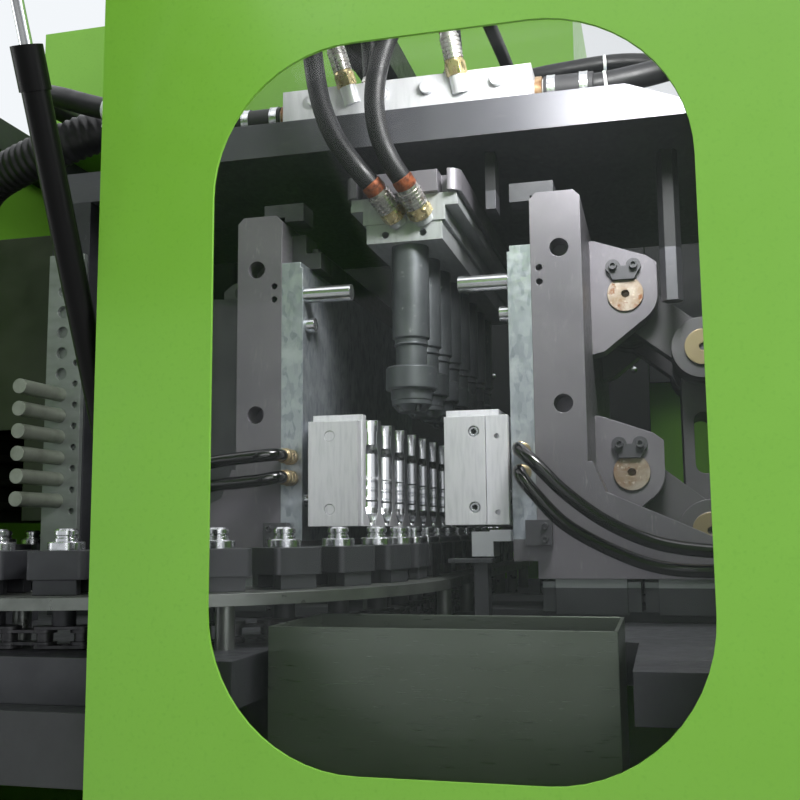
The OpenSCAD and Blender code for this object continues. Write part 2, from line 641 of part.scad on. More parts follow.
/* Slideway, platens and moulds */
module top_plate() color("slategray") seated() {
  top_slab();
  // Stop bar beside the lift plate, and a six-sided post on the right
  block([clamp_x + 95, clamp_front + 60, platen_top + 4], [clamp_x + 108, clamp_front + 95,
    top_z - weld_gap]);
  translate([clamp_x + 320, tail_y0 + 20, toggle_top_z - 20])
    cylinder(d = 27, h = top_z - weld_gap - toggle_top_z + 20, $fn = 6);
}
module top_slab() difference() {
  union() {
    slab_y(clamp_front, tail_y0) translate([clamp_x, 0]) polygon([
      [-top_half, top_z + 4], [-top_half + top_bevel, top_z + top_t],
      [top_half - top_bevel, top_z + top_t], [top_half, top_z + 4], [top_half, top_z],
      [-top_half, top_z]]);
    block([clamp_x - tail_out, tail_y0, top_z], [clamp_x + tail_out, tail_y1, top_z + top_t]);
    block([clamp_x - top_half, tail_y1, top_z],
      [clamp_x + top_half, clamp_front + clamp_l, top_z + top_t]);
  }
  for (y = guide_ys) rod_z(clamp_x, y, top_z - 1, top_z + top_t + 1, guide_d + 2 * fit_gap);
  for (y = lift_cyl_ys) rod_z(clamp_x, y, top_z - 1, top_z + top_t + 1, 22);
}
// Tail platens with the lugs of the drive shafts
module tail_outline(z) {
  difference() {
    union() {
      translate([shaft_in, z]) circle(ear_r);
      polygon([[shaft_in, z - ear_r], [tail_in, z - ear_r - 12], [tail_in, z + ear_r + 12],
        [shaft_in, z + ear_r]]);
    }
    translate([shaft_in, z]) circle(pin_d / 2 + fit_gap);
  }
}
module tail_platen() {
  block([tail_in, tail_y0, bed_z], [tail_out, tail_y1, top_z]);
  for (z = [toggle_top_z, toggle_low_z]) for (y = [inner_y0, core_y1 + side_gap])
    slab_y(y, y + blade_t) tail_outline(z);
}
module tail_platens() color("dimgray") {
  for (s = [1, -1]) side(s) tail_platen();
  side(1) for (y = [tail_y0 + 20, tail_y1 - 50])
    slab_y(y, y + 30) polygon([[tail_out, bed_z], [tail_out + 120, bed_z],
      [tail_out + 120, bed_z + 30], [tail_out, bed_z + 260]]);
}
module clamp_rails() color("silver") for (s = [1, -1]) side(s) {
  for (y = rail_y) difference() {
    slab_x(rail_in, rail_out) translate([y, bed_z]) polygon([
      [-rail_w / 2, 0], [rail_w / 2, 0], [rail_w / 2, rail_h * 0.45],
      [rail_w / 2 - 4, rail_h * 0.58], [rail_w / 2, rail_h * 0.75], [rail_w / 2, rail_h],
      [-rail_w / 2, rail_h], [-rail_w / 2, rail_h * 0.75], [-rail_w / 2 + 4, rail_h * 0.58],
      [-rail_w / 2, rail_h * 0.45]]);
    for (k = [0:3]) rod_z(rail_in + 40 + 80 * k, y, bed_z + rail_h - 8, bed_z + rail_h + 1, 14);
  }
  // Wear strip in front of the right platen, on its post
  if (s > 0) {
    block([back_in - 70, clamp_front - 34, mould_z - 43], [back_in - 19, clamp_front - 4,
      mould_z - 38]);
    block([back_in - 41, clamp_front - 30, bed_z], [back_in - 25, clamp_front - 8,
      mould_z - 43 - weld_gap]);
  }
}
module runner_blocks() {
  for (y = rail_y) for (k = [0, 1]) {
    x = platen_in + 4 + runner_cap + k * runner_pitch;
    difference() {
      block([x, y - runner_w / 2, runner_z], [x + runner_l, y + runner_w / 2, platen_z]);
      block([x - 1, y - rail_w / 2 - 0.4, runner_z - 1],
        [x + runner_l + 1, y + rail_w / 2 + 0.4, bed_z + rail_h + 0.4]);
    }
    for (e = [x - runner_cap, x + runner_l]) difference() {
      block([e, y - runner_w / 2 + 3, runner_z + 3],
        [e + runner_cap, y + runner_w / 2 - 3, platen_z - 3]);
      block([e - 1, y - rail_w / 2 - 0.6, runner_z - 1],
        [e + runner_cap + 1, y + rail_w / 2 + 0.6, bed_z + rail_h + 0.6]);
    }
  }
}
module platen() {
  end = clamp_front + clamp_l;
  difference() {
    union() {
      // Plate with its top corners cut
      slab_y(clamp_front, end) polygon([[platen_in, platen_z], [platen_out, platen_z],
        [platen_out, platen_top - 8], [platen_out - 8, platen_top], [platen_in + 8, platen_top],
        [platen_in, platen_top - 8]]);
      // Ledge that the back plate stands on
      block([back_in, clamp_front, platen_z + 20], [platen_in + 1, end, mould_z - 17]);
      // Carriage feet at the front and the rear
      for (y = [clamp_front, end - 66]) slab_y(y, y + 66) polygon([[platen_out - 1, platen_z],
        [foot_out, platen_z], [foot_out, platen_z + 34], [platen_out + 131, platen_z + 48],
        [platen_out + 19, platen_z + 98], [platen_out + 5, platen_z + 133],
        [platen_out - 1, platen_z + 133]]);
      // Pads that carry the toggle ears
      for (z = [toggle_top_z, toggle_low_z]) for (y = [outer_y0, outer_y1 - blade_t])
        slab_y(y, y + blade_t) ear_outline(z);
    }
    // Lifting holes in the front edge, and the small gauge holes beside them
    for (z = [platen_z + 201, platen_z + 387]) rod_y(platen_in + 34, z, clamp_front - 1,
      clamp_front + 30, 22);
    for (z = [platen_z + 364, platen_z + 347]) rod_y(platen_in + 10, z, clamp_front - 1,
      clamp_front + 16, 8);
  }
}
// Toggle ear: a rounded lug with a raked upper edge and a relieved corner
module ear_outline(z) difference() {
  union() {
    translate([pin_in, z]) circle(ear_r);
    polygon([[platen_out - 1, z - 78], [platen_out + 16, z - 74], [pin_in + 28, z - 30],
      [pin_in + ear_r, z], [pin_in + ear_r, z + 40], [pin_in + 28, z + 50],
      [platen_out + 6, z + 74], [platen_out - 1, z + 74]]);
  }
  translate([pin_in, z]) circle(pin_d / 2);
}
// Back plate with a step along its top inner edge
module back_plate() slab_y(clamp_front, clamp_front + clamp_l) polygon([
  [back_in, mould_z - 17], [platen_in, mould_z - 17], [platen_in, mould_z + 331],
  [back_in + 3, mould_z + 331], [back_in + 3, mould_z + 324], [back_in, mould_z + 324]]);
// Inverted bottle: neck at the bottom, ribs round the body, base pocket at the top
bottle_r = bottle_d / 2;
module bottle() rotate_extrude() polygon([[0, -1], [12.5, -1], [12.5, 4], [15, 7],
  [bottle_r - 4, 16], [bottle_r, 24], [bottle_r, 31], [bottle_r - 2.5, 33], [bottle_r - 2.5, 35],
  [bottle_r, 37], [bottle_r, 44], [bottle_r - 2.5, 46], [bottle_r - 2.5, 48], [bottle_r, 50],
  [bottle_r, 56], [bottle_r - 2.5, 58], [bottle_r - 2.5, 60], [bottle_r, 62], [bottle_r, 92],
  [bottle_r - 2, 97], [22, 103], [22, mould_h - 15], [27, mould_h - 15], [27, mould_h + 1],
  [0, mould_h + 1]]);
rebate = 14;
module mould_half() difference() {
  block([mould_in, clamp_front, mould_z], [back_in, clamp_front + clamp_l, mould_top]);
  for (k = [0:cavities - 1]) translate([mould_in, row_y + k * pitch, mould_z]) bottle();
  // Rebate at the front that clears the heads of the cap screws
  block([back_in - rebate, clamp_front - 1, mould_z - 1],
    [back_in + 1, clamp_front + 90, mould_top + 1]);
  // Water channels in the back half
  for (z = [mould_z + 32, mould_z + mould_h - 34])
    rod_y(back_in - 30, z, clamp_front - 1, clamp_front + clamp_l + 1, 12);
}
// Block over the front end of a mould, in one or two pieces
module end_blocks(pieces) difference() {
  y0 = clamp_front - end_block_t;
  x1 = pieces > 1 ? mould_in + 49 : back_in - rebate;
  union() {
    block([mould_in + 1, y0, mould_z], [x1, clamp_front, mould_z + 126]);
    if (pieces > 1) block([x1 + 0.5, y0 + 5, mould_z], [back_in - 2, clamp_front, mould_z + 127]);
  }
  for (z = [mould_z + 20, mould_z + 108]) {
    rod_y(mould_in + 36, z, y0 - 1, clamp_front - 6, 13);
    if (pieces > 1) rod_y(mould_in + 62, z - 6, y0 - 1, clamp_front - 6, 6);
  }
}
module toggle_pins() {
  for (z = [toggle_top_z, toggle_low_z]) difference() {
    rod_y(pin_in, z, outer_y0 - 3, outer_y1 + 3, pin_d);
    rod_y(pin_in, z, outer_y0 - 4, outer_y0 + 12, 10);
    // Flats that the keeper plates lock
    for (y = [outer_y0 - 4, outer_y1 + 1])
      block([pin_in - 30, y, z + pin_d / 2 - 5], [pin_in + 30, y + 4.2, z + pin_d / 2 + 1]);
  }
}
module clamp_hardware() {
  // Keeper plates with their screws over the two platen pins
  for (z = [toggle_top_z, toggle_low_z]) {
    difference() {
      slab_y(outer_y0 - keeper_t, outer_y0) translate([pin_in, z]) {
        for (x = keeper_xs) translate([x, keeper_h]) circle(keeper_r);
        polygon([[keeper_xs[0] - keeper_r, keeper_h], [-15, keeper_low], [12, keeper_low],
          [keeper_xs[1] + keeper_r, keeper_h]]);
      }
      for (x = keeper_xs) rod_y(pin_in + x, z + keeper_h, outer_y0 - keeper_t - 1,
        outer_y0 - 2, 5.5);
    }
    for (x = keeper_xs) screw_y(pin_in + x, z + keeper_h, outer_y0 - keeper_t, 7);
  }
  // Stop rod near the front of the back plates
  rod_x(clamp_front + 10.5, mould_z + 290, back_in - 61, back_in, 20.5);
  // Cap screws through the back plate
  for (p = [[15, 33], [15, 252], [clamp_l - 15, 252]])
    screw_x(clamp_front + p.x, mould_z + p.y, back_in, 12, -1);
  // Water couplings on the front edge
  for (z = [mould_z + 59, mould_z + 85]) {
    rod_y(back_in + back_t / 2, z, clamp_front - 10, clamp_front, 17);
    translate([back_in + back_t / 2, clamp_front - 10, z]) rotate([90, 0, 0])
      cylinder(d = 17, h = 8, $fn = 6);
    rod_y(back_in + back_t / 2, z, clamp_front - 30, clamp_front - 18, 15);
  }
  // Wear block over the joint of back plate and platen, with an upright pair of screws
  block([back_in + 16, clamp_front - wear_t, platen_z + 38], [platen_in + 18, clamp_front,
    platen_z + 67]);
  for (z = [45, 60]) screw_y(platen_in + 10, platen_z + z, clamp_front - wear_t, 5);
  // Cleat that hooks over the platen's top edge
  slab_y(clamp_front + 10, clamp_front + 48) polygon([[back_in + 3, platen_top - 6],
    [platen_in, platen_top - 6], [platen_in, platen_top], [platen_in + 28, platen_top],
    [platen_in + 28, platen_top + 17], [back_in + 3, platen_top + 17]]);
}
// Stepped bracket under the right mould, which slides over the wear strip
module step_bracket() slab_y(clamp_front - 20, clamp_front + 26) polygon([
  [mould_in + 32, mould_z - 36], [mould_in + 57, mould_z - 36], [mould_in + 57, mould_z - 19],
  [back_in, mould_z - 19], [back_in, mould_z - 6], [mould_in + 53, mould_z - 6],
  [mould_in + 53, mould_z - 8], [mould_in + 32, mould_z - 8]]);
// Angle with two bolts on the inner face of the left platen
module angle_bracket() {
  y = clamp_front + 38;
  x = platen_in;
  z = mould_z + 331.3;
  slab_y(y, y + 44) polygon([[x, z], [x - 39, z], [x - 39, z + 21], [x - 19, z + 21],
    [x - 19, z + 46], [x, z + 46]]);
  for (k = [12, 32]) rod_z(x - 29, y + k, z + 21, z + 28, 11);
}
// Cover sheet in front of the left ears, on two standoffs
module ear_cover() {
  slab_y(outer_y0 - 20, outer_y0 - 18) polygon([[platen_out + 4, mould_z + 9],
    [platen_out + 4, mould_z + 293], [platen_out + 10, mould_z + 300],
    [platen_out + 46, mould_z + 319], [platen_out + 112, mould_z + 324],
    [platen_out + 112, mould_z + 9]]);
  for (z = [toggle_top_z - 60, toggle_low_z + 56])
    rod_y(platen_out + 14, z, outer_y0 - 18, outer_y0, 12);
}
module platen_right() color("dimgray") side(1) platen();
module platen_left() color("dimgray") side(-1) platen();
module back_plate_right() color("lightgray") side(1) back_plate();
module back_plate_left() color("lightgray") side(-1) back_plate();
module mould_half_right() color("gainsboro") side(1) {
  mould_half();
  end_blocks(2);
}
module mould_half_left() color("gainsboro") side(-1) {
  mould_half();
  end_blocks(1);
}
module water_hoses_right() color("black") side(1) water_hoses(water_hoses_r);
module water_hoses_left() color("black") side(-1) water_hoses(water_hoses_l);
module runner_blocks_right() color("silver") side(1) runner_blocks();
module runner_blocks_left() color("silver") side(-1) runner_blocks();
module toggle_pins_right() color("rosybrown") side(1) toggle_pins();
module toggle_pins_left() color("rosybrown") side(-1) toggle_pins();
module clamp_hardware_right() color("silver") side(1) {
  clamp_hardware();
  step_bracket();
}
module clamp_hardware_left() color("silver") side(-1) {
  clamp_hardware();
  angle_bracket();
  ear_cover();
}

/* Toggle links */
module bar_outline(p, q, half) {
  d = q - p;
  n = [-d.y, d.x] / norm(d) * half;
  polygon([p + n, p - n, q - n, q + n]);
}
module link_outline(p, q, r_p, r_q, half) {
  translate(p) circle(r_p);
  translate(q) circle(r_q);
  bar_outline(p, q, half);
}
function knee(z) = [knee_in, z - link_dz];
// Two blades keyed on their drive shaft, with the knee pin pressed through them
module rear_link(z, shaft_end) {
  for (y = [outer_y0, outer_y1 - blade_t]) slab_y(y, y + blade_t)
    link_outline([shaft_in, z], knee(z), hub_r, hub_r, hub_r * 0.78);
  rod_y(shaft_in, z, outer_y0 - 6, shaft_end, pin_d);
  difference() {
    rod_y(knee(z).x, knee(z).y, outer_y0 - 4, outer_y1 + 4, pin_d);
    rod_y(knee(z).x, knee(z).y, outer_y0 - 5, outer_y0 + 12, 10);
  }
}
// Forked link on one wide hub, with a looser eye where its loop is left open
module front_link(z, loose) difference() {
  union() {
    for (y = [inner_y0, core_y1 + side_gap]) slab_y(y, y + blade_t)
      link_outline([pin_in, z], knee(z), hub_r - 1, hub_r, hub_r * 0.75);
    rod_y(pin_in, z, inner_y0, inner_y1, 2 * hub_r - 4);
  }
  rod_y(pin_in, z, inner_y0 - 1, inner_y1 + 1, pin_d + 2 * (fit_gap + loose));
  rod_y(knee(z).x, knee(z).y, inner_y0 - 1, inner_y1 + 1, pin_d + 2 * fit_gap);
}
open_gap = 0.5;
module knee_bar() {
  a = knee(toggle_top_z);
  b = knee(toggle_low_z);
  slab_y(core_y0, core_y1) difference() {
    link_outline(a, b, hub_r - 3, hub_r - 3, 27);
    translate(a) circle(pin_d / 2 + fit_gap);
    translate(b) circle(pin_d / 2 + open_gap);
    // Lightening slot between the eyes
    translate([-13, 0]) rounded([a.x, b.y + 75], [a.x + 26, a.y - 75], 12.9);
  }
}
gear_y0 = tail_y1;
gear_d = 130;
drive_end = gear_y0 + 60;
low_end = outer_y1 + 6;
module rear_link_upper_right() color("dimgray") side(1) rear_link(toggle_top_z, drive_end);
module rear_link_upper_left() color("dimgray") side(-1) rear_link(toggle_top_z, drive_end);
module rear_link_lower_right() color("dimgray") side(1) rear_link(toggle_low_z, low_end);
module rear_link_lower_left() color("dimgray") side(-1) rear_link(toggle_low_z, low_end);
module front_link_upper_right() color("dimgray") side(1) front_link(toggle_top_z, 0);
module front_link_upper_left() color("dimgray") side(-1) front_link(toggle_top_z, 0);
module front_link_lower_right() color("dimgray") side(1)
  front_link(toggle_low_z, open_gap - fit_gap);
module front_link_lower_left() color("dimgray") side(-1)
  front_link(toggle_low_z, open_gap - fit_gap);
module knee_bar_right() color("dimgray") side(1) knee_bar();
module knee_bar_left() color("dimgray") side(-1) knee_bar();
module clamp_drives() color("slategray") for (s = [1, -1]) side(s) {
  difference() {
    block([shaft_in - 62, gear_y0, toggle_top_z - 70],
      [tail_out, gear_y0 + gear_d, toggle_top_z + 70]);
    rod_y(shaft_in, toggle_top_z, gear_y0 - 1, drive_end + 2, pin_d + 2 * fit_gap);
    for (x = [shaft_in - 44, tail_out - 18]) for (z = [-52, 52])
      rod_y(x, toggle_top_z + z, gear_y0 + gear_d - 10, gear_y0 + gear_d + 1, 12);
  }
  // Cover boss, adapter and servo motor standing on the gearbox
  rod_y(shaft_in, toggle_top_z, gear_y0 + gear_d, gear_y0 + gear_d + 12, 90);
  translate([tail_in - 10, gear_y0 + gear_d / 2, toggle_top_z + 70]) {
    rod_z(0, 0, 0, 22, 100);
    linear_extrude(210) rounded([-45, -45], [45, 45], 12);
    linear_extrude(24) rounded([-52, -52], [52, 52], 8);
    translate([0, 0, 210]) linear_extrude(28) rounded([-38, -38], [38, 38], 10);
    block([45, -16, 150], [72, 16, 190]);
  }
}

/* Mandrel chain */
module oval(r) {
  for (y = [loop_y0, loop_y1]) translate([loop_x, y]) circle(r, $fn = 96);
  translate([loop_x - r, loop_y0]) square([2 * r, loop_y1 - loop_y0]);
}
module mandrel_track() color("silver") seated() {
  translate([0, 0, track_z]) linear_extrude(track_t) {
    difference() {
      oval(loop_r + track_half);
      oval(loop_r + track_slot / 2);
    }
    difference() {
      oval(loop_r - track_slot / 2);
      oval(loop_r - track_half);
    }
  }
  // Posts that carry both rails on the bed
  for (k = [0:run_mandrels / 2]) let (y = loop_y0 + 2 * k * pitch)
    for (x = [clamp_x, row_out_x]) for (w = [-1, 1])
      rod_z(x + w * (track_half - 14), y + pitch / 2, bed_z, post_top, 18);
  for (a = [52, 128]) for (w = [-1, 1]) let (r = loop_r + w * (track_half - 14)) {
    rod_z(loop_x + r * cos(a), loop_y1 + r * sin(a), bed_z, post_top, 18);
    rod_z(loop_x + r * cos(a), loop_y0 - r * sin(a), bed_z, post_top, 18);
  }
  for (a = [-90, 90]) let (r = loop_r - track_half + 14)
    rod_z(loop_x, (a < 0 ? loop_y0 : loop_y1) + r * sin(a), bed_z, post_top, 18);
}
chain_r = 11;
module mandrel_chain() color("darkslategray") seated()
  for (i = [0:stations * links_per_pitch - 1]) {
    p = on_loop((i - 0.5) * link_p + loop_len());
    q = on_loop((i + 0.5) * link_p);
    a = [p.x, p.y];
    b = [q.x, q.y];
    low = i % 2 == 0 ? 7.1 : 4;
    for (z = [chain_z + low, chain_z - low - 3]) translate([0, 0, z]) linear_extrude(3)
      difference() {
        union() {
          translate(a) circle(chain_r, $fn = 24);
          translate(b) circle(chain_r, $fn = 24);
          bar_outline(a, b, i % 2 == 0 ? chain_r : chain_r - 3);
        }
        if (i % 2 == 0) translate((a + b) / 2) circle(stretch_d / 2 + 2, $fn = 24);
      }
    rod_z(b.x, b.y, chain_z - 3.9, chain_z + 3.9, 15);
  }
module mandrel_carriers() color("dimgray") seated()
  for (i = [0:stations - 1]) let (p = on_loop(i * pitch))
    translate([p.x, p.y, 0]) rotate(p.z) difference() {
      union() {
        translate([0, 0, carrier_z]) linear_extrude(carrier_h) rounded([-27, -30], [27, 30], 6);
        for (w = [-1, 1]) block([-20, min(w * 16, w * 28), track_top + 0.3],
          [20, max(w * 16, w * 28), carrier_z]);
        rod_z(0, 0, chain_z + 10.3, carrier_z, 22);
      }
      rod_z(0, 0, chain_z + 10, mandrel_z + 1, stretch_d + 3);
    }
module mandrels() color("silver") seated()
  for (i = [0:stations - 1]) let (p = on_loop(i * pitch), r = mandrel_d / 2, h = mandrel_h)
    translate([p.x, p.y, mandrel_z]) rotate_extrude() polygon([
      [stretch_d / 2 + 1.5, 0], [mandrel_flange_d / 2, 0], [mandrel_flange_d / 2, 7],
      [mandrel_flange_d / 2 - 1, 8], [r, 8], [r, 11], [r - 1.5, 11.5], [r - 1.5, 13.5], [r, 14],
      [r, h - 2], [r - 2, h], [stretch_d / 2 + 1.5, h]]);
module stretch_rods() color("gainsboro") seated() {
  difference() {
    block([clamp_x - unit_half, post_ys[0] - 20, carriage_z],
      [clamp_x + unit_half, post_ys[1] + 20, carriage_z + carriage_t]);
    for (y = post_ys) rod_z(clamp_x, y, carriage_z - 1, carriage_z + carriage_t + 1,
      post_d + 2 * fit_gap);
  }
  for (k = [0:cavities - 1]) translate([clamp_x, row_y + k * pitch, carriage_z + carriage_t]) {
    cylinder(d = stretch_d, h = chain_z - 14 - carriage_z - carriage_t - 3);
    translate([0, 0, chain_z - 17 - carriage_z - carriage_t])
      cylinder(d1 = stretch_d, d2 = stretch_d - 5, h = 3);
    cylinder(d = 24, h = 12);
  }
  // Piston rod of the stretch cylinder
  rod_z(clamp_x, (row_y + row_end) / 2, piston_low, carriage_z, piston_d);
}
module blow_nozzles() color("silver") seated() difference() {
  union() {
    block([clamp_x - unit_half, post_ys[0] - 20, nozzle_z],
      [clamp_x + unit_half, post_ys[1] + 20, nozzle_z + nozzle_t]);
    for (k = [0:cavities - 1]) {
      rod_z(clamp_x, row_y + k * pitch, nozzle_z + nozzle_t, nozzle_z + nozzle_t + nozzle_h, 26);
    }
    // Air inlet bosses on the side of the beam
    for (y = [row_y + pitch, row_end - pitch])
      rod_x(y, nozzle_z + 16, clamp_x + unit_half, clamp_x + unit_half + 14, 26);
  }
  for (y = post_ys) rod_z(clamp_x, y, nozzle_z - 1, nozzle_z + nozzle_t + 1,
    post_d + 2 * fit_gap);
  for (k = [0:cavities - 1]) rod_z(clamp_x, row_y + k * pitch, nozzle_z - 1,
    nozzle_z + nozzle_t + 40, stretch_d + 2 * fit_gap);
}
module nozzle_frame() color("slategray") seated() {
  for (y = post_ys) rod_z(clamp_x, y, low_plate_z + low_plate_t, bed_low, post_d);
  difference() {
    union() {
      block([clamp_x - 45, post_ys[0] - 25, low_plate_z],
        [clamp_x + 45, post_ys[1] + 25, low_plate_z + low_plate_t]);
      translate([clamp_x, (row_y + row_end) / 2, piston_low - 20])
        linear_extrude(low_plate_z - piston_low + 20) rounded([-38, -38], [38, 38], 9);
    }
    rod_z(clamp_x, (row_y + row_end) / 2, piston_low - 10, low_plate_z + low_plate_t + 1,
      piston_d + 2 * fit_gap);
  }
}

/* Upper works */
module lift_cylinders() color("slategray") seated() for (y = lift_cyl_ys) {
  difference() {
    union() {
      translate([clamp_x, y, manifold_z]) linear_extrude(14) rounded([-44, -40], [44, 40], 8);
      rod_z(clamp_x, y, manifold_z + 14, manifold_z + 96, 72);
      translate([clamp_x, y, manifold_z + 96]) linear_extrude(12) rounded([-38, -38], [38, 38], 8);
    }
    rod_z(clamp_x, y, manifold_z - 1, manifold_z + 70, 20 + 2 * fit_gap);
  }
}
module lift_plate() color("darkgray") seated() {
  w = lift_w / 2;
  translate([0, 0, lift_z]) linear_extrude(lift_t) difference() {
    translate([clamp_x - w, lift_block_y0 - 10]) rounded([0, 0],
      [lift_w, lift_block_y1 - lift_block_y0 + 20], 16);
    // Open slots at the front for the tee bolts
    for (x = [clamp_x - w + 22, clamp_x + w - 22]) translate([x - 6, lift_block_y0 - 11])
      square([12, 26]);
  }
  for (y = guide_ys) rod_z(clamp_x, y, lift_top, manifold_z + 70, guide_d);
  for (y = lift_cyl_ys) rod_z(clamp_x, y, lift_top, manifold_z + 40, 20);
}
module water_manifold() color("silver") seated() difference() {
  union() {
    block([clamp_x - block_w / 2, lift_block_y0, block_z + 24],
      [clamp_x + block_w / 2, lift_block_y1, lift_z]);
    block([clamp_x - block_w / 2 + 4, lift_block_y0 + 2, block_z],
      [clamp_x + block_w / 2 - 4, lift_block_y1 - 2, block_z + 24]);
    // Hose unions on the front face
    for (h = [[44, base_hose_a[0]], [76, base_hose_b[0]]]) let (foot = [h[0], lift_block_y0 + 4,
      block_z + 25]) stub(foot, foot + 0.99 * (h[1] - foot), 24);
    // Foot strips that hang the block in the lift plate
    for (x = [clamp_x - lift_w / 2 + 6, clamp_x + lift_w / 2 - 26])
      block([x, lift_block_y0, lift_z - 8], [x + 20, lift_block_y1, lift_z]);
    for (x = [clamp_x - block_w / 2 - 16, clamp_x + block_w / 2])
      block([x, lift_block_y0, lift_z - 16], [x + 16, lift_block_y1, lift_z - 8]);
  }
  for (w = [-24, 24]) rod_y(clamp_x + w, block_z + 10, lift_block_y0 - 1, lift_block_y0 + 30, 9);
}
// One base mould: column, neck, flange and the five-lobed insert under it
module base_mould() {
  r = column_d / 2;
  f = base_flange_d / 2;
  i = insert_d / 2;
  rotate_extrude() polygon([[0, column_top], [r, column_top], [r, ring_z + 11], [r - 3, ring_z + 9],
    [r - 3, ring_z + 4], [r - 1, ring_z + 2], [r - 4, ring_z], [r - 4, neck_z], [f - 2, neck_z],
    [f, neck_z - 2], [f, flange_z + 2], [f - 2, flange_z], [i + 1, flange_z],
    [i + 1, flange_z - 12], [i, flange_z - 13], [i, flange_z - 18], [i - 8, tip_z],
    [0, tip_z + 4]]);
}
module base_moulds() color("darkgray") seated() for (k = [0:cavities - 1])
  translate([clamp_x, row_y + k * pitch, 0]) difference() {
    base_mould();
    for (a = [0:72:359]) rotate(a + 18) translate([insert_d / 2 - 5, 0, tip_z - 1])
      cylinder(d = 8, h = 9);
    for (a = [0:90:359]) rotate(a + 45) rod_z(base_flange_d / 2 - 5.5, 0, neck_z - 5, neck_z + 1, 5);
  }
module top_manifold() color("gainsboro") seated() {
  y0 = clamp_front + 14;
  difference() {
    union() {
      block([clamp_x - manifold_half, y0, manifold_z],
        [clamp_x + manifold_half, y0 + 70, manifold_z + manifold_h]);
      // Hose stubs at both ends, and slanting unions on the front face
      rod_x(y0 + 35, manifold_z + 23, clamp_x - manifold_half - 62, clamp_x - manifold_half, 30);
      rod_x(y0 + 35, manifold_z + 23, clamp_x + manifold_half, clamp_x + manifold_half + 62, 30);
      for (h = [feed_hose_a, feed_hose_b]) {
        foot = h[0] - 4 * (h[1] - h[0]);
        stub(foot, foot + 3.96 * (h[1] - h[0]), 21);
      }
      for (h = [base_hose_a, base_hose_b]) let (end = h[len(h) - 1])
        rod_z(end.x, end.y, manifold_z, end.z - 0.3, 26);
      for (x = [-20, 96]) block([x - 16, y0 + 69, manifold_z], [x + 16, y0 + 117,
        manifold_z + 22]);
    }
    for (x = manifold_bolts) rod_y(clamp_x + x, manifold_z + 29, y0 - 1, y0 + 6, 18);
  }
  for (x = manifold_bolts) rod_y(clamp_x + x, manifold_z + 29, y0 - 7, y0 + 5.8, 17);
}
// Two black hoses from the couplings down to the foot of the platen
module water_hoses(rows) for (i = [0, 1])
  sweep(concat([for (p = water_hose_starts) p + [0, 0, 26 * i]], rows[i]), 15);
module base_hoses() color("black") seated() {
  sweep(base_hose_a, 25);
  sweep(base_hose_b, 25);
}

/* Oven side and the rest of the bay */
module oven_housing() color("silver") seated() {
  difference() {
    block([oven_x0, oven_y0, oven_z], [oven_x1, oven_y1, oven_z + oven_h]);
    // Lamp chamber over the return row, open below
    block([row_out_x - 80, oven_y0 + oven_wall, oven_z - 1],
      [oven_x1 - oven_wall, oven_y1 - oven_wall, oven_z + oven_h - 60]);
    // Preform ways through both ends
    for (y = [oven_y0 - 1, oven_y1 - oven_wall - 1])
      block([row_out_x - 26, y, oven_z - 1], [row_out_x + 26, y + oven_wall + 2, oven_z + 132]);
    // Blower inlet on top
    rod_z(oven_x0 + 90, 0, oven_z + oven_h - 20, oven_z + oven_h + 1, 80);
  }
  // Legs down to the bed, outside the track
  for (y = [oven_y0 + 20, oven_y1 - 50]) {
    block([oven_x0 + 8, y, bed_z], [oven_x0 + 38, y + 30, oven_z - 0.2]);
  }
  // Lamps along the far wall of the chamber
  for (k = [0:7]) rod_y(row_out_x - 62, oven_z + 24 + 36 * k, oven_y0 + oven_wall + 0.2,
    oven_y1 - oven_wall - 0.2, 12);
}
module oven_end_plate() color("silver") side(-1) difference() {
  slab_y(end_plate_y, end_plate_y + end_plate_t) polygon([
    [tail_in + 2, bed_z + 60], [tail_in + 12, bed_z + 6], [tail_out - 12, bed_z + 6],
    [tail_out - 2, bed_z + 60], [tail_out - 2, platen_top], [tail_in + 2, platen_top]]);
  for (k = [0:free_holes + rods - 1]) rod_y(tail_in + 34, rod_top_z + (free_holes - k) * rod_pitch,
    end_plate_y - 1, end_plate_y + end_plate_t - 2, k < free_holes ? 17 : rod_d - 4);
  for (k = [0:free_holes + rods]) rod_y(tail_in + 11, rod_top_z + (free_holes - k + 0.5) * rod_pitch,
    end_plate_y - 1, end_plate_y + end_plate_t - 2, 9);
}
module oven_rods() color("silver") side(-1) for (k = [0:rods - 1])
  let (z = rod_top_z - k * rod_pitch) {
    rod_y(tail_in + 34, z, end_plate_y - rod_l, end_plate_y, rod_d);
    rod_y(tail_in + 34, z, end_plate_y, end_plate_y + end_plate_t - 2, rod_d - 4);
  }
module clevis_bracket() color("dimgray") seated() {
  x0 = -452;
  y0 = -420;
  for (x = [x0, x0 + 34]) slab_x(x, x + 12) difference() {
    union() {
      polygon([[y0 - 34, bed_z], [y0 + 60, bed_z], [y0 + 60, bed_z + 12], [y0 + 24, bed_z + 24],
        [y0 - 24, bed_z + 24]]);
      translate([y0, bed_z + 24]) circle(20);
    }
    translate([y0, bed_z + 24]) circle(7);
  }
  rod_x(y0, bed_z + 24, x0 - 4, x0 + 50, 14);
}
module air_cylinder() color("dimgray") seated() {
  x = -472;
  y = -420;
  rod_z(x, y, bed_low - 210, bed_low - 16, 84);
  rod_z(x, y, bed_low - 16, bed_low, 104);
  rod_z(x, y, bed_low - 222, bed_low - 210, 104);
  for (a = [45:90:359]) rod_z(x + 44 * cos(a), y + 44 * sin(a), bed_low - 222, bed_low, 10);
}
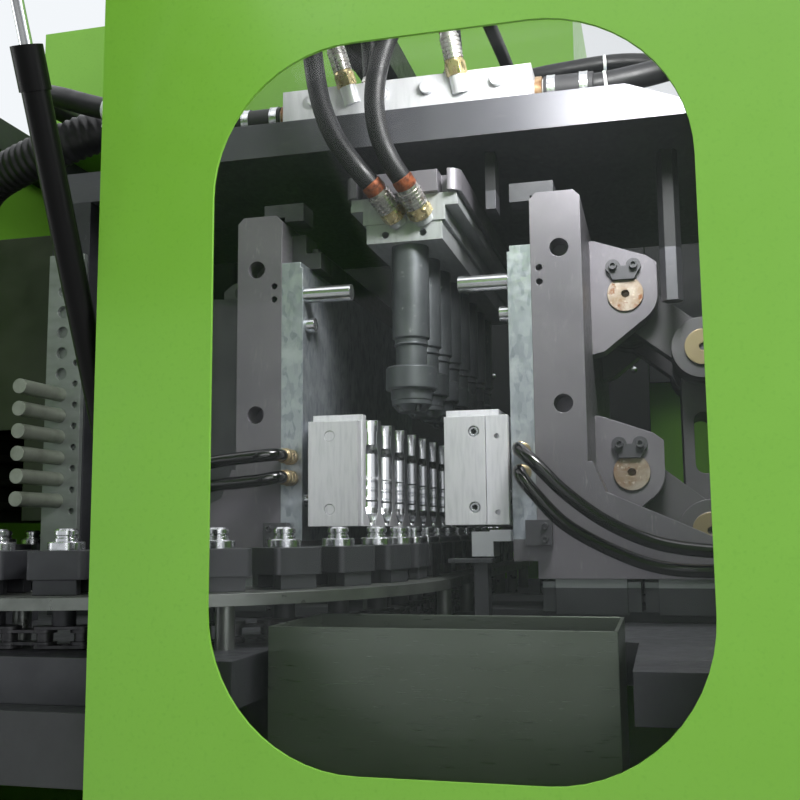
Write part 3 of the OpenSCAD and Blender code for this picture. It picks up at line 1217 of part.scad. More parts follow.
// Floor and four walls, welded at the corners
module stainless_tray() color("silver") seated() {
  z = tray_low + tray_t + weld_gap;
  block([tray_x0, tray_y0, tray_low], [tray_x1, tray_y1, tray_low + tray_t]);
  for (y = [tray_y0, tray_y1 - tray_t])
    block([tray_x0, y, z], [tray_x1, y + tray_t, tray_top]);
  for (x = [tray_x0, tray_x1 - tray_t])
    block([x, tray_y0 + tray_t + weld_gap, z],
      [x + tray_t, tray_y1 - tray_t - weld_gap, tray_top]);
}
// Hoses that stay with the frame
module machine_hoses() color("black") seated() {
  sweep(feed_hose_a, 20);
  sweep(feed_hose_b, 20);
  sweep(side_hose_right, 30);
  sweep(side_hose_left, 30);
  sweep(duct_hose, 62);
  sweep(bundle, 22);
}

base_frame();
levelling_feet();
bed_plate();
enclosure_frame();
front_guard_panel();
window_pane();
body_panels();
upper_cabinet();
door_hinges();
lift_door();
strut_cylinders();
strut_rods();
top_plate();
tail_platens();
clamp_rails();
clamp_drives();
mandrel_track();
mandrel_chain();
mandrel_carriers();
mandrels();
stretch_rods();
blow_nozzles();
nozzle_frame();
oven_housing();
oven_end_plate();
oven_rods();
clevis_bracket();
air_cylinder();
stainless_tray();
top_manifold();
machine_hoses();
lift_cylinders();
lift_plate();
water_manifold();
base_moulds();
base_hoses();
platen_right();
back_plate_right();
mould_half_right();
water_hoses_right();
runner_blocks_right();
toggle_pins_right();
clamp_hardware_right();
rear_link_upper_right();
rear_link_lower_right();
front_link_upper_right();
front_link_lower_right();
knee_bar_right();
platen_left();
back_plate_left();
mould_half_left();
water_hoses_left();
runner_blocks_left();
toggle_pins_left();
clamp_hardware_left();
rear_link_upper_left();
rear_link_lower_left();
front_link_upper_left();
front_link_lower_left();
knee_bar_left();
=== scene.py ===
# The looks of a blow moulding machine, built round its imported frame.
import math

import bmesh
import bpy
from mathutils import Matrix, Vector


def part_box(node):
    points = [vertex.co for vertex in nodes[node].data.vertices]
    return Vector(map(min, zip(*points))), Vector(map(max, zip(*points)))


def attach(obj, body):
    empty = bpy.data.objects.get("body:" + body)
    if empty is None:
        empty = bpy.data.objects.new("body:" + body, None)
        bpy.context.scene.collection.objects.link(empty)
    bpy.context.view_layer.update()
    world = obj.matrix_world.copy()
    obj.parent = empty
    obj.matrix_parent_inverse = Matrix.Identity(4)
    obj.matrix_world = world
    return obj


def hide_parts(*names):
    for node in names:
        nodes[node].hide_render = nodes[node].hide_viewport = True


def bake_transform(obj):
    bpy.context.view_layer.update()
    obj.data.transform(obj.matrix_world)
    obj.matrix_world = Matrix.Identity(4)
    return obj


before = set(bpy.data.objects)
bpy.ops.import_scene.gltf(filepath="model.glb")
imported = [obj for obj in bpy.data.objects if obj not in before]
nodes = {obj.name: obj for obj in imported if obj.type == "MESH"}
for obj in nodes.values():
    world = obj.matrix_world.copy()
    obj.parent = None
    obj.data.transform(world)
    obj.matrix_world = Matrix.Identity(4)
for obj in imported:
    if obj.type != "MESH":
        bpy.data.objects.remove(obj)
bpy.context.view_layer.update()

# Places are written in millimetres in the machine's own frame, whose front face is at -760
FRONT_FACE = -760.0
MM = 0.001
shift_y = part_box("front_guard_panel")[0].y - FRONT_FACE * MM
# Middle plane of the clamp
CLAMP_X = 50.0


def at(x, y, z):
    """A place of the machine's own frame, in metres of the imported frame."""
    return Vector((x * MM, y * MM + shift_y, z * MM))


# Camera, as solved from the photograph's vanishing points
CAMERA_PLACE = (348.5, -1500.0, 1150.0)
CAMERA_YAW = math.radians(14.28)
CAMERA_PITCH = math.radians(7.22)
CAMERA_ROLL = math.radians(-0.53)
FOCAL_PIXELS = 1025.3
FRAME_PIXELS = 800.0
SENSOR = 36.0
NEAREST = 0.01


def make_camera():
    data = bpy.data.cameras.new("camera")
    data.sensor_width = SENSOR
    data.lens = FOCAL_PIXELS / FRAME_PIXELS * SENSOR
    data.clip_start = NEAREST
    camera = bpy.data.objects.new("camera", data)
    bpy.context.scene.collection.objects.link(camera)
    forward = Vector((-math.sin(CAMERA_YAW) * math.cos(CAMERA_PITCH),
                      math.cos(CAMERA_YAW) * math.cos(CAMERA_PITCH), math.sin(CAMERA_PITCH)))
    level = Vector((math.cos(CAMERA_YAW), math.sin(CAMERA_YAW), 0))
    up = level.cross(forward)
    right = level * math.cos(CAMERA_ROLL) + up * math.sin(CAMERA_ROLL)
    top = up * math.cos(CAMERA_ROLL) - level * math.sin(CAMERA_ROLL)
    turn = Matrix((right, top, -forward)).transposed().to_4x4()
    camera.matrix_world = Matrix.Translation(at(*CAMERA_PLACE)) @ turn
    bpy.context.scene.camera = camera


# Material helpers
# Sockets of a Mix node: the colour pair and its result, then the pair of numbers and its result
COLOR_A, COLOR_B, COLOR_MIX = 6, 7, 2
NUMBER_A, NUMBER_B, NUMBER_MIX = 2, 3, 0
BEVEL_SAMPLES = 4


def srgb(r, g, b):
    """A colour of 0 to 255 a channel, as the linear one that the shader takes."""
    def linear(v):
        v /= 255
        return v / 12.92 if v <= 0.04045 else ((v + 0.055) / 1.055) ** 2.4
    return (linear(r), linear(g), linear(b), 1.0)


class Finish:
    """A Principled material whose colour, roughness and bump are built up from noise."""

    def __init__(self, name, color, rough, metal=0.0, **sockets):
        self.mat = bpy.data.materials.new(name)
        self.mat.use_nodes = True
        self.tree = self.mat.node_tree
        self.bsdf = self.tree.nodes["Principled BSDF"]
        self.bsdf.inputs["Base Color"].default_value = color
        self.bsdf.inputs["Roughness"].default_value = rough
        self.bsdf.inputs["Metallic"].default_value = metal
        for key, value in sockets.items():
            self.bsdf.inputs[key.replace("_", " ")].default_value = value
        self.mat.diffuse_color = color
        self.color = None
        self.base = color
        self.normal = None

    def node(self, kind, **inputs):
        made = self.tree.nodes.new(kind)
        for key, value in inputs.items():
            made.inputs[key.replace("_", " ")].default_value = value
        return made

    def link(self, out, into):
        self.tree.links.new(out, into)

    def pattern(self, kind, stretch, **inputs):
        """A texture node on the object's own coordinates."""
        place = self.node("ShaderNodeTexCoord")
        mapping = self.node("ShaderNodeMapping", Scale=stretch)
        self.link(place.outputs["Object"], mapping.inputs["Vector"])
        texture = self.node(kind, **inputs)
        self.link(mapping.outputs["Vector"], texture.inputs["Vector"])
        return texture

    def noise(self, scale, detail=3.0, stretch=(1, 1, 1), roughness=0.55):
        return self.pattern("ShaderNodeTexNoise", stretch, Scale=scale, Detail=detail,
                            Roughness=roughness).outputs["Fac"]

    def cells(self, scale, stretch):
        return self.pattern("ShaderNodeTexVoronoi", stretch, Scale=scale).outputs["Color"]

    def maths(self, operation, first, second):
        """A Math node on an output and on a second output or a number."""
        made = self.node("ShaderNodeMath")
        made.operation = operation
        self.link(first, made.inputs[0])
        if isinstance(second, float):
            made.inputs[1].default_value = second
        else:
            self.link(second, made.inputs[1])
        return made.outputs[0]

    def ramp(self, fac, low, high, start=0.0, end=1.0):
        """Runs from start to end while the mask runs from low to high."""
        ramp = self.node("ShaderNodeMapRange", From_Min=low, From_Max=high, To_Min=start, To_Max=end)
        self.link(fac, ramp.inputs["Value"])
        return ramp.outputs["Result"]

    def tint(self, fac, color, low=0.4, high=0.6):
        """Mixes another colour in where the mask runs from low to high."""
        mask = self.ramp(fac, low, high)
        mix = self.node("ShaderNodeMix")
        mix.data_type = "RGBA"
        if self.color is None:
            mix.inputs[COLOR_A].default_value = self.base
        else:
            self.link(self.color, mix.inputs[COLOR_A])
        mix.inputs[COLOR_B].default_value = color
        self.link(mask, mix.inputs[0])
        self.color = mix.outputs[COLOR_MIX]
        self.link(self.color, self.bsdf.inputs["Base Color"])
        return self

    def roughen(self, fac, first, last, low=0.3, high=0.7):
        """Takes the roughness from first to last while the mask runs from low to high."""
        self.link(self.ramp(fac, low, high, first, last), self.bsdf.inputs["Roughness"])
        return self

    def bump(self, fac, distance, strength):
        """Raises the surface by up to a distance in metres."""
        bump = self.node("ShaderNodeBump", Strength=strength, Distance=distance)
        self.link(fac, bump.inputs["Height"])
        if self.normal is not None:
            self.link(self.normal, bump.inputs["Normal"])
        self.normal = bump.outputs["Normal"]
        self.link(self.normal, self.bsdf.inputs["Normal"])
        return self

    def edges(self, radius):
        """Rounds the sharp corners in the shading, as a broken edge does."""
        bevel = self.node("ShaderNodeBevel", Radius=radius)
        bevel.samples = BEVEL_SAMPLES
        self.normal = bevel.outputs["Normal"]
        self.link(self.normal, self.bsdf.inputs["Normal"])
        return self

    def inside(self, box):
        """A mask that is one within a box given by two corners in the machine's own frame."""
        low, high = (at(*corner) for corner in box)
        place = self.node("ShaderNodeTexCoord")
        split = self.node("ShaderNodeSeparateXYZ")
        self.link(place.outputs["Object"], split.inputs["Vector"])
        mask = None
        for axis in range(3):
            for bound, kind in ((low[axis], "GREATER_THAN"), (high[axis], "LESS_THAN")):
                test = self.maths(kind, split.outputs[axis], bound)
                mask = test if mask is None else self.maths("MULTIPLY", mask, test)
        return mask

    def zone(self, box, color, rough, metal):
        """Gives another colour, roughness and metal within a box."""
        mask = self.inside(box)
        self.tint(mask, color)
        for name, value in (("Roughness", rough), ("Metallic", metal)):
            socket = self.bsdf.inputs[name]
            mix = self.node("ShaderNodeMix")
            if socket.links:
                self.link(socket.links[0].from_socket, mix.inputs[NUMBER_A])
            else:
                mix.inputs[NUMBER_A].default_value = socket.default_value
            mix.inputs[NUMBER_B].default_value = value
            self.link(mask, mix.inputs[0])
            self.link(mix.outputs[NUMBER_MIX], socket)
        return self

    def speckle(self, scale, color, cut, spread):
        """Spots of a colour where a fine noise rises over the cut."""
        return self.tint(self.noise(scale, 6.0, roughness=0.7), color, cut, cut + spread)


# Places that have a finish of their own, or painted light or shade, as two corners in mm; the
# clamp's are given on its right side, as distances from its middle plane
# Painted shadow on the stop bar and post, where the top plate above shades them
STOP_BAR_SHADOW = ((140, -260, 1577), (390, -170, 1627.9))
STOP_POST_SHADOW = ((350, -210, 1500), (390, -170, 1580))
RUNNER_STRIPS = ((-600, -400, 1083), (700, 400, 1094))
# Painted light on the oven where it faces the door opening
OVEN_DOOR_LIGHT = ((-800, -300, 1000), (-612, -190, 1700))
KNEE_PIN_ENDS = ((328, -170, 1100), (382, -160.1, 1402))
CAVITIES = ((-82, -304, 1156), (82, 262, 1289))
PARTING_GAP = ((-52.4, -400, 1100), (52.4, 400, 1400))
BRIGHT_HARDWARE = ((50, -316, 1165), (130, 300, 1460))
STEP_BRACKET = ((80, -335, 1112), (131, -280, 1152))


def by_clamp(box, sign=1):
    """The box of a place at the clamp, on its right side or with -1 on its left."""
    (d0, y0, z0), (d1, y1, z1) = box
    x0, x1 = sorted((CLAMP_X + sign * d0, CLAMP_X + sign * d1))
    return (x0, y0, z0), (x1, y1, z1)


def green_paint():
    f = Finish("green_paint", srgb(119, 178, 58), 0.36, Specular_IOR_Level=0.4,
               Coat_Weight=0.2, Coat_Roughness=0.16)
    f.tint(f.noise(3.0, 2.0), srgb(126, 185, 65), 0.35, 0.75)
    f.tint(f.noise(260, 2.0), srgb(115, 174, 56), 0.55, 0.8)
    f.roughen(f.noise(40, 4.0), 0.28, 0.42)
    return f.bump(f.noise(420, 2.0), 0.0002, 0.18).mat


def frame_paint():
    f = Finish("frame_paint", srgb(38, 40, 42), 0.5)
    f.edges(0.0015)
    f.tint(f.noise(14, 5.0), srgb(48, 50, 52), 0.4, 0.7)
    f.roughen(f.noise(60, 4.0), 0.4, 0.6)
    return f.bump(f.noise(300, 3.0), 0.0003, 0.3).mat


def platen_steel():
    # Dark ground plate with fine slanting grinding marks
    f = Finish("platen_steel", srgb(120, 117, 123), 0.44, 0.4)
    f.edges(0.0012)
    f.tint(f.noise(7, 4.0), srgb(106, 103, 110), 0.4, 0.65)
    f.tint(f.noise(55, 5.0, (8, 1, 1.6)), srgb(144, 141, 146), 0.6, 0.8)
    f.roughen(f.noise(90, 5.0, (10, 1, 2)), 0.34, 0.52)
    return f.bump(f.noise(190, 3.0, (14, 1, 2)), 0.00012, 0.4).mat


def dark_steel():
    f = Finish("dark_steel", srgb(62, 63, 67), 0.5, 0.35)
    f.edges(0.0012)
    f.tint(f.noise(12, 5.0), srgb(50, 51, 55), 0.4, 0.65)
    f.speckle(60, srgb(82, 83, 86), 0.64, 0.1)
    f.roughen(f.noise(70, 4.0), 0.42, 0.6)
    return f.bump(f.noise(190, 4.0), 0.00012, 0.3).mat


def beam_steel():
    # The top plate, ground on its edges, with painted shadow darkening the stop bar and post under
    # it
    f = Finish("beam_steel", srgb(98, 98, 103), 0.42, 0.5)
    f.edges(0.0012)
    f.tint(f.noise(7, 4.0), srgb(88, 88, 94), 0.4, 0.65)
    f.tint(f.noise(55, 5.0, (1, 1, 8)), srgb(112, 111, 115), 0.6, 0.8)
    f.roughen(f.noise(90, 5.0, (2, 1, 10)), 0.34, 0.5)
    # Painted shadow: the stop bar and post are darkened where the plate above shades them
    f.zone(STOP_BAR_SHADOW, srgb(34, 35, 37), 0.6, 0.2)
    f.zone(STOP_POST_SHADOW, srgb(40, 41, 43), 0.6, 0.2)
    return f.bump(f.noise(190, 3.0, (2, 1, 14)), 0.0001, 0.3).mat


def link_steel():
    f = Finish("link_steel", srgb(94, 93, 96), 0.46, 0.45)
    f.edges(0.0015)
    f.tint(f.noise(9, 5.0), srgb(80, 79, 83), 0.4, 0.65)
    f.speckle(30, srgb(128, 124, 120), 0.64, 0.1)
    f.roughen(f.noise(50, 5.0), 0.38, 0.58)
    # Bare ends of the knee pins, which stand proud of the blades
    for sign in (-1, 1):
        f.zone(by_clamp(KNEE_PIN_ENDS, sign), srgb(150, 136, 108), 0.4, 0.6)
    return f.bump(f.noise(160, 4.0), 0.0002, 0.35).mat


def zinc_plate():
    # Zinc plated steel: small mottled flakes and a faint bluish cast
    f = Finish("zinc_plate", srgb(172, 178, 184), 0.38, 0.7)
    f.edges(0.0012)
    flakes = f.cells(190, (1, 1, 0.45))
    f.tint(flakes, srgb(142, 149, 157), 0.35, 0.95)
    f.tint(f.noise(34, 5.0), srgb(192, 197, 202), 0.52, 0.72)
    f.roughen(f.noise(120, 4.0), 0.28, 0.5)
    return f.bump(f.noise(240, 3.0), 0.00018, 0.4).mat


def mould_aluminium():
    # Milled aluminium, mirror polished within the cavities of the parting face
    f = Finish("mould_aluminium", srgb(226, 226, 231), 0.34, 0.25)
    f.edges(0.001)
    f.tint(f.noise(30, 5.0, (9, 1, 1)), srgb(210, 211, 217), 0.45, 0.7)
    f.speckle(120, srgb(236, 236, 239), 0.66, 0.06)
    cavity = f.maths("SUBTRACT", f.inside(by_clamp(CAVITIES)), f.inside(by_clamp(PARTING_GAP)))
    f.tint(cavity, srgb(240, 241, 244))
    f.roughen(cavity, 0.34, 0.16, 0.4, 0.6)
    f.link(f.ramp(cavity, -0.5, 1.0), f.bsdf.inputs["Metallic"])
    return f.bump(f.noise(150, 4.0, (1, 1, 9)), 0.00008, 0.25).mat


def clamp_set():
    # Dark brackets and keepers, with bright stop rods and cap screws beside the back plates
    f = Finish("clamp_set", srgb(84, 84, 88), 0.45, 0.4)
    f.edges(0.0008)
    f.tint(f.noise(30, 4.0), srgb(70, 70, 74), 0.45, 0.7)
    for sign in (-1, 1):
        f.zone(by_clamp(BRIGHT_HARDWARE, sign), srgb(196, 198, 200), 0.22, 0.9)
    # Stepped bracket under the right mould half
    f.zone(by_clamp(STEP_BRACKET), srgb(176, 178, 182), 0.34, 0.6)
    return f.bump(f.noise(220, 3.0), 0.00008, 0.3).mat


def bright_steel():
    f = Finish("bright_steel", srgb(188, 190, 192), 0.2, 0.95)
    f.edges(0.0008)
    f.tint(f.noise(40, 4.0), srgb(160, 162, 166), 0.45, 0.7)
    f.roughen(f.noise(110, 4.0), 0.14, 0.3)
    return f.bump(f.noise(220, 3.0), 0.00008, 0.3).mat


def rod_steel():
    # Ground rods with a dull greenish grey skin
    f = Finish("rod_steel", srgb(146, 152, 140), 0.34, 0.55)
    f.edges(0.0008)
    f.tint(f.noise(40, 4.0), srgb(128, 134, 122), 0.45, 0.7)
    return f.roughen(f.noise(90, 4.0), 0.28, 0.42).mat


def dull_column():
    # Turned columns with a matte grey surface and faint rings
    f = Finish("dull_column", srgb(98, 102, 105), 0.46, 0.55)
    f.edges(0.001)
    f.tint(f.noise(24, 6.0), srgb(82, 86, 89), 0.42, 0.65)
    f.speckle(140, srgb(146, 149, 151), 0.62, 0.08)
    f.roughen(f.noise(60, 4.0, (1, 1, 12)), 0.34, 0.52)
    return f.bump(f.noise(120, 2.0, (0.3, 0.3, 14)), 0.0001, 0.4).mat


def pin_steel():
    # Turned pin ends with brown rust round the rim and in spots
    f = Finish("pin_steel", srgb(168, 158, 146), 0.4, 0.55)
    f.edges(0.0015)
    f.tint(f.noise(46, 6.0), srgb(142, 122, 102), 0.42, 0.62)
    f.tint(f.noise(95, 7.0, roughness=0.7), srgb(124, 74, 34), 0.56, 0.66)
    f.tint(f.noise(240, 4.0), srgb(202, 190, 176), 0.62, 0.7)
    f.roughen(f.noise(70, 5.0), 0.3, 0.7)
    return f.bump(f.noise(210, 5.0), 0.0004, 0.5).mat


def stainless():
    f = Finish("stainless", srgb(106, 114, 104), 0.32, 0.75)
    f.edges(0.0012)
    f.tint(f.noise(6, 3.0), srgb(92, 100, 88), 0.4, 0.7)
    f.roughen(f.noise(45, 5.0, (1, 1, 22)), 0.26, 0.42)
    return f.bump(f.noise(60, 4.0, (0.5, 0.5, 40)), 0.00003, 0.2).mat


def oven_steel():
    # The oven's sheet steel, with painted light making it paler where it faces the door opening
    f = Finish("oven_steel", srgb(70, 74, 64), 0.36, 0.6)
    f.edges(0.0015)
    f.tint(f.noise(5, 3.0, (1, 1, 2)), srgb(56, 62, 50), 0.4, 0.7)
    # Painted light: paler where light falls in through the door opening
    f.tint(f.inside(OVEN_DOOR_LIGHT), srgb(138, 136, 124))
    return f.roughen(f.noise(30, 4.0), 0.28, 0.45).mat


def oven_plate_grey():
    f = Finish("oven_plate_grey", srgb(136, 142, 139), 0.38, 0.45)
    f.edges(0.001)
    f.tint(f.noise(16, 4.0, (1, 1, 3)), srgb(120, 126, 122), 0.4, 0.7)
    return f.roughen(f.noise(60, 4.0), 0.32, 0.48).mat


def runner_steel():
    # Dark slide blocks with a paler ground strip along the top
    f = Finish("runner_steel", srgb(58, 60, 62), 0.45, 0.45)
    f.edges(0.001)
    f.tint(f.noise(20, 4.0), srgb(48, 50, 52), 0.4, 0.7)
    f.zone(RUNNER_STRIPS, srgb(128, 133, 132), 0.36, 0.6)
    return f.mat


def track_steel():
    f = Finish("track_steel", srgb(116, 120, 116), 0.34, 0.7)
    f.edges(0.0008)
    f.tint(f.noise(30, 4.0), srgb(98, 102, 98), 0.45, 0.7)
    return f.roughen(f.noise(80, 4.0), 0.26, 0.42).mat


def plate_aluminium():
    f = Finish("plate_aluminium", srgb(228, 228, 232), 0.34, 0.35)
    f.edges(0.0012)
    f.tint(f.noise(18, 5.0, (5, 1, 1)), srgb(214, 215, 219), 0.42, 0.68)
    f.roughen(f.noise(80, 4.0, (6, 1, 1)), 0.28, 0.42)
    return f.bump(f.noise(170, 3.0, (10, 1, 1)), 0.00003, 0.2).mat


def black_rubber():
    f = Finish("black_rubber", srgb(20, 20, 22), 0.42, Specular_IOR_Level=0.35)
    f.tint(f.noise(30, 4.0), srgb(30, 30, 33), 0.5, 0.75)
    f.roughen(f.noise(60, 5.0), 0.36, 0.56)
    return f.bump(f.noise(420, 3.0), 0.00025, 0.35).mat


def black_gloss():
    f = Finish("black_gloss", srgb(6, 6, 7), 0.4, Specular_IOR_Level=0.12)
    return f.roughen(f.noise(30, 4.0), 0.34, 0.46).mat


def wet_hose():
    # Glossy vinyl of the small water hoses
    f = Finish("wet_hose", srgb(8, 8, 9), 0.14, Specular_IOR_Level=0.6)
    return f.roughen(f.noise(40, 4.0), 0.1, 0.2).mat


def chrome():
    f = Finish("chrome", srgb(216, 218, 220), 0.08, 1.0)
    return f.roughen(f.noise(50, 3.0), 0.05, 0.14).mat


def dark_chain():
    f = Finish("dark_chain", srgb(66, 66, 68), 0.4, 0.7)
    f.edges(0.0006)
    f.tint(f.noise(120, 4.0), srgb(44, 44, 46), 0.45, 0.7)
    return f.roughen(f.noise(90, 4.0), 0.28, 0.55).mat


def water_block():
    f = Finish("water_block", srgb(176, 179, 181), 0.36, 0.3)
    f.edges(0.001)
    f.tint(f.noise(24, 5.0, (6, 1, 1)), srgb(160, 163, 165), 0.42, 0.68)
    return f.roughen(f.noise(80, 4.0, (6, 1, 1)), 0.3, 0.44).mat


def clear_pane():
    # Mostly see-through, with a faint reflection of the room
    f = Finish("clear_pane", (0.02, 0.03, 0.025, 1.0), 0.03, Specular_IOR_Level=1.0, Alpha=0.09)
    f.roughen(f.noise(4, 2.0), 0.01, 0.05)
    f.mat.blend_method = "BLEND"
    return f.mat


def copper_band():
    f = Finish("copper_band", srgb(150, 84, 52), 0.5, 0.5)
    f.tint(f.noise(140, 6.0), srgb(96, 52, 34), 0.45, 0.62)
    return f.bump(f.noise(300, 4.0), 0.0003, 0.5).mat


def yellow_zinc():
    f = Finish("yellow_zinc", srgb(198, 184, 140), 0.28, 0.85)
    f.edges(0.0006)
    f.tint(f.noise(160, 4.0), srgb(168, 150, 102), 0.45, 0.7)
    return f.roughen(f.noise(90, 4.0), 0.18, 0.4).mat


def tan_brass():
    f = Finish("tan_brass", srgb(176, 160, 128), 0.34, 0.7)
    f.edges(0.0006)
    f.tint(f.noise(150, 4.0), srgb(146, 126, 92), 0.45, 0.68)
    return f.roughen(f.noise(90, 4.0), 0.24, 0.46).mat


def rusty_brass():
    f = Finish("rusty_brass", srgb(158, 134, 104), 0.45, 0.6)
    f.tint(f.noise(90, 6.0), srgb(110, 76, 46), 0.45, 0.6)
    return f.bump(f.noise(200, 5.0), 0.0003, 0.5).mat


def ferrule_steel():
    f = Finish("ferrule_steel", srgb(196, 194, 190), 0.24, 0.85)
    f.tint(f.noise(130, 5.0), srgb(160, 150, 140), 0.5, 0.7)
    return f.roughen(f.noise(80, 4.0), 0.16, 0.36).mat


def clamp_steel():
    f = Finish("clamp_steel", srgb(204, 206, 208), 0.22, 0.9)
    f.edges(0.0004)
    f.tint(f.noise(110, 4.0), srgb(172, 174, 178), 0.5, 0.7)
    return f.roughen(f.noise(90, 4.0), 0.14, 0.32).mat


def sleeve_rubber():
    f = Finish("sleeve_rubber", srgb(34, 34, 36), 0.6)
    f.tint(f.noise(60, 4.0), srgb(48, 48, 50), 0.5, 0.7)
    return f.bump(f.noise(260, 3.0, (0.4, 3, 3)), 0.0003, 0.5).mat


def tie_white():
    f = Finish("tie_white", srgb(214, 216, 214), 0.45, Subsurface_Weight=0.1)
    return f.tint(f.noise(60, 2.0), srgb(198, 200, 198), 0.45, 0.7).mat


# Dark grey of painted shade, for the sheets behind the clamp and the floors of screw sockets
def shade_grey():
    f = Finish("shade_grey", srgb(40, 43, 45), 0.6)
    f.tint(f.noise(4, 4.0), srgb(32, 35, 37), 0.4, 0.7)
    return f.roughen(f.noise(30, 4.0), 0.45, 0.65).mat


def floor_paint():
    f = Finish("floor", (0.78, 0.78, 0.77, 1.0), 0.7)
    return f.tint(f.noise(2.0, 3.0), (0.82, 0.82, 0.81, 1.0), 0.4, 0.7).mat


finishes = {
    make.__name__: make() for make in (
        green_paint, frame_paint, platen_steel, link_steel, zinc_plate, mould_aluminium,
        clamp_set, dark_steel, beam_steel, oven_steel, oven_plate_grey, runner_steel,
        track_steel, wet_hose, water_block, bright_steel, rod_steel, dull_column, pin_steel,
        stainless, plate_aluminium, black_rubber, black_gloss, chrome, dark_chain, clear_pane,
        copper_band, yellow_zinc, tan_brass, rusty_brass, ferrule_steel, clamp_steel,
        sleeve_rubber, tie_white, shade_grey)}

# What each node of the frame is finished in
NODE_FINISH = {
    "green_paint": ("front_guard_panel", "body_panels", "upper_cabinet", "lift_door"),
    "frame_paint": ("base_frame", "enclosure_frame", "nozzle_frame", "clamp_drives"),
    "platen_steel": ("lift_plate", "platen_right", "platen_left"),
    "dark_steel": ("bed_plate", "tail_platens", "mandrel_carriers", "clevis_bracket",
                   "clamp_rails"),
    "beam_steel": ("top_plate",),
    "link_steel": tuple(f"{end}_link_{row}_{side}" for end in ("rear", "front")
                        for row in ("upper", "lower") for side in ("right", "left"))
    + ("knee_bar_right", "knee_bar_left"),
    "zinc_plate": ("back_plate_right", "back_plate_left"),
    "mould_aluminium": ("mould_half_right", "mould_half_left"),
    "bright_steel": ("levelling_feet", "door_hinges", "mandrels", "stretch_rods"),
    "rod_steel": ("oven_rods",),
    "runner_steel": ("runner_blocks_right", "runner_blocks_left"),
    "track_steel": ("mandrel_track",),
    "oven_steel": ("oven_housing",),
    "oven_plate_grey": ("oven_end_plate",),
    "clamp_set": ("clamp_hardware_right", "clamp_hardware_left"),
    "dull_column": ("base_moulds",),
    "pin_steel": ("toggle_pins_right", "toggle_pins_left"),
    "stainless": ("stainless_tray",),
    "plate_aluminium": ("top_manifold", "lift_cylinders", "blow_nozzles"),
    "water_block": ("water_manifold",),
    "black_rubber": ("machine_hoses", "base_hoses", "water_hoses_right", "water_hoses_left"),
    "black_gloss": ("strut_cylinders", "air_cylinder"),
    "chrome": ("strut_rods",),
    "dark_chain": ("mandrel_chain",),
    "clear_pane": ("window_pane",),
}


def dress_nodes():
    """Gives each node's mesh its one material."""
    for finish, names in NODE_FINISH.items():
        for name in names:
            mesh = nodes[name].data
            mesh.materials.clear()
            mesh.materials.append(finishes[finish])


# Mesh helpers
TUBE_SIDES = 28
# Half the angle that one flat of a hexagon takes up
HALF_FLAT = math.pi / 6
# Edges that turn more than this are shaded sharp
SHARP_FROM = math.radians(35)


def piece(name, mesh, finish, body, smooth=True):
    """An object of the mesh, in a finish, that rides a body where one is named."""
    obj = bpy.data.objects.new(name, mesh)
    bpy.context.scene.collection.objects.link(obj)
    mesh.materials.append(finishes[finish])
    for face in mesh.polygons:
        face.use_smooth = smooth
    if body is not None:
        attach(obj, body)
    return obj


def frame_along(way):
    """A heading with two directions square to it."""
    way = Vector(way).normalized()
    side = way.cross(Vector((0, 0, 1)) if abs(way.z) < 0.8 else Vector((1, 0, 0))).normalized()
    return way, side, way.cross(side)


def between(p, q, t, low, high):
    """The point at t between p, reached at low, and q, reached at high."""
    return p + (q - p) * ((t - low) / (high - low))


def smooth_route(points, steps):
    """A centripetal Catmull-Rom curve through the points, so uneven spacing makes no kinks."""
    points = [points[0] * 2 - points[1]] + points + [points[-1] * 2 - points[-2]]
    route = []
    for i in range(1, len(points) - 2):
        group = points[i - 1:i + 3]
        knots = [0.0]
        for p, q in zip(group, group[1:]):
            knots.append(knots[-1] + math.sqrt((q - p).length))
        for k in range(steps):
            t = knots[1] + (knots[2] - knots[1]) * k / steps
            one = [between(group[j], group[j + 1], t, knots[j], knots[j + 1]) for j in range(3)]
            two = [between(one[j], one[j + 1], t, knots[j], knots[j + 2]) for j in range(2)]
            route.append(between(two[0], two[1], t, knots[1], knots[2]))
    route.append(points[-2])
    return route


def untwisted(ways):
    """Two directions square to each heading of a route, turned no more than the route turns."""
    side = None
    for way in ways:
        if side is None:
            side = frame_along(way)[1]
        side = (side - way * side.dot(way)).normalized()
        yield side, way.cross(side)


def around(sides):
    """The angle of each corner of a round with this many sides."""
    return [2 * math.pi * k / sides for k in range(sides)]


def skinned(name, rings):
    """A closed mesh over rings of points, all of one count, with a flat face at each end."""
    mesh = bmesh.new()
    rings = [[mesh.verts.new(point) for point in ring] for ring in rings]
    count = len(rings[0])
    for low, high in zip(rings, rings[1:]):
        for k in range(count):
            mesh.faces.new((low[k], low[(k + 1) % count], high[(k + 1) % count], high[k]))
    mesh.faces.new(list(reversed(rings[0])))
    mesh.faces.new(rings[-1])
    bmesh.ops.recalc_face_normals(mesh, faces=mesh.faces)
    out = bpy.data.meshes.new(name)
    mesh.to_mesh(out)
    mesh.free()
    return out


def tube_mesh(name, route, radius, ripple=0.0, ripple_length=1.0):
    """A tube along a route; the ripple is how deep the grooves between its ribs are."""
    last = len(route) - 1
    ways = [(route[min(i + 1, last)] - route[max(i - 1, 0)]).normalized()
            for i in range(last + 1)]
    rings = []
    travelled = 0.0
    for i, (side, up) in enumerate(untwisted(ways)):
        if i:
            travelled += (route[i] - route[i - 1]).length
        r = radius
        if ripple:
            r -= ripple * (0.5 + 0.5 * math.cos(2 * math.pi * travelled / ripple_length))
        rings.append([route[i] + (side * math.cos(a) + up * math.sin(a)) * r
                      for a in around(TUBE_SIDES)])
    return skinned(name, rings)


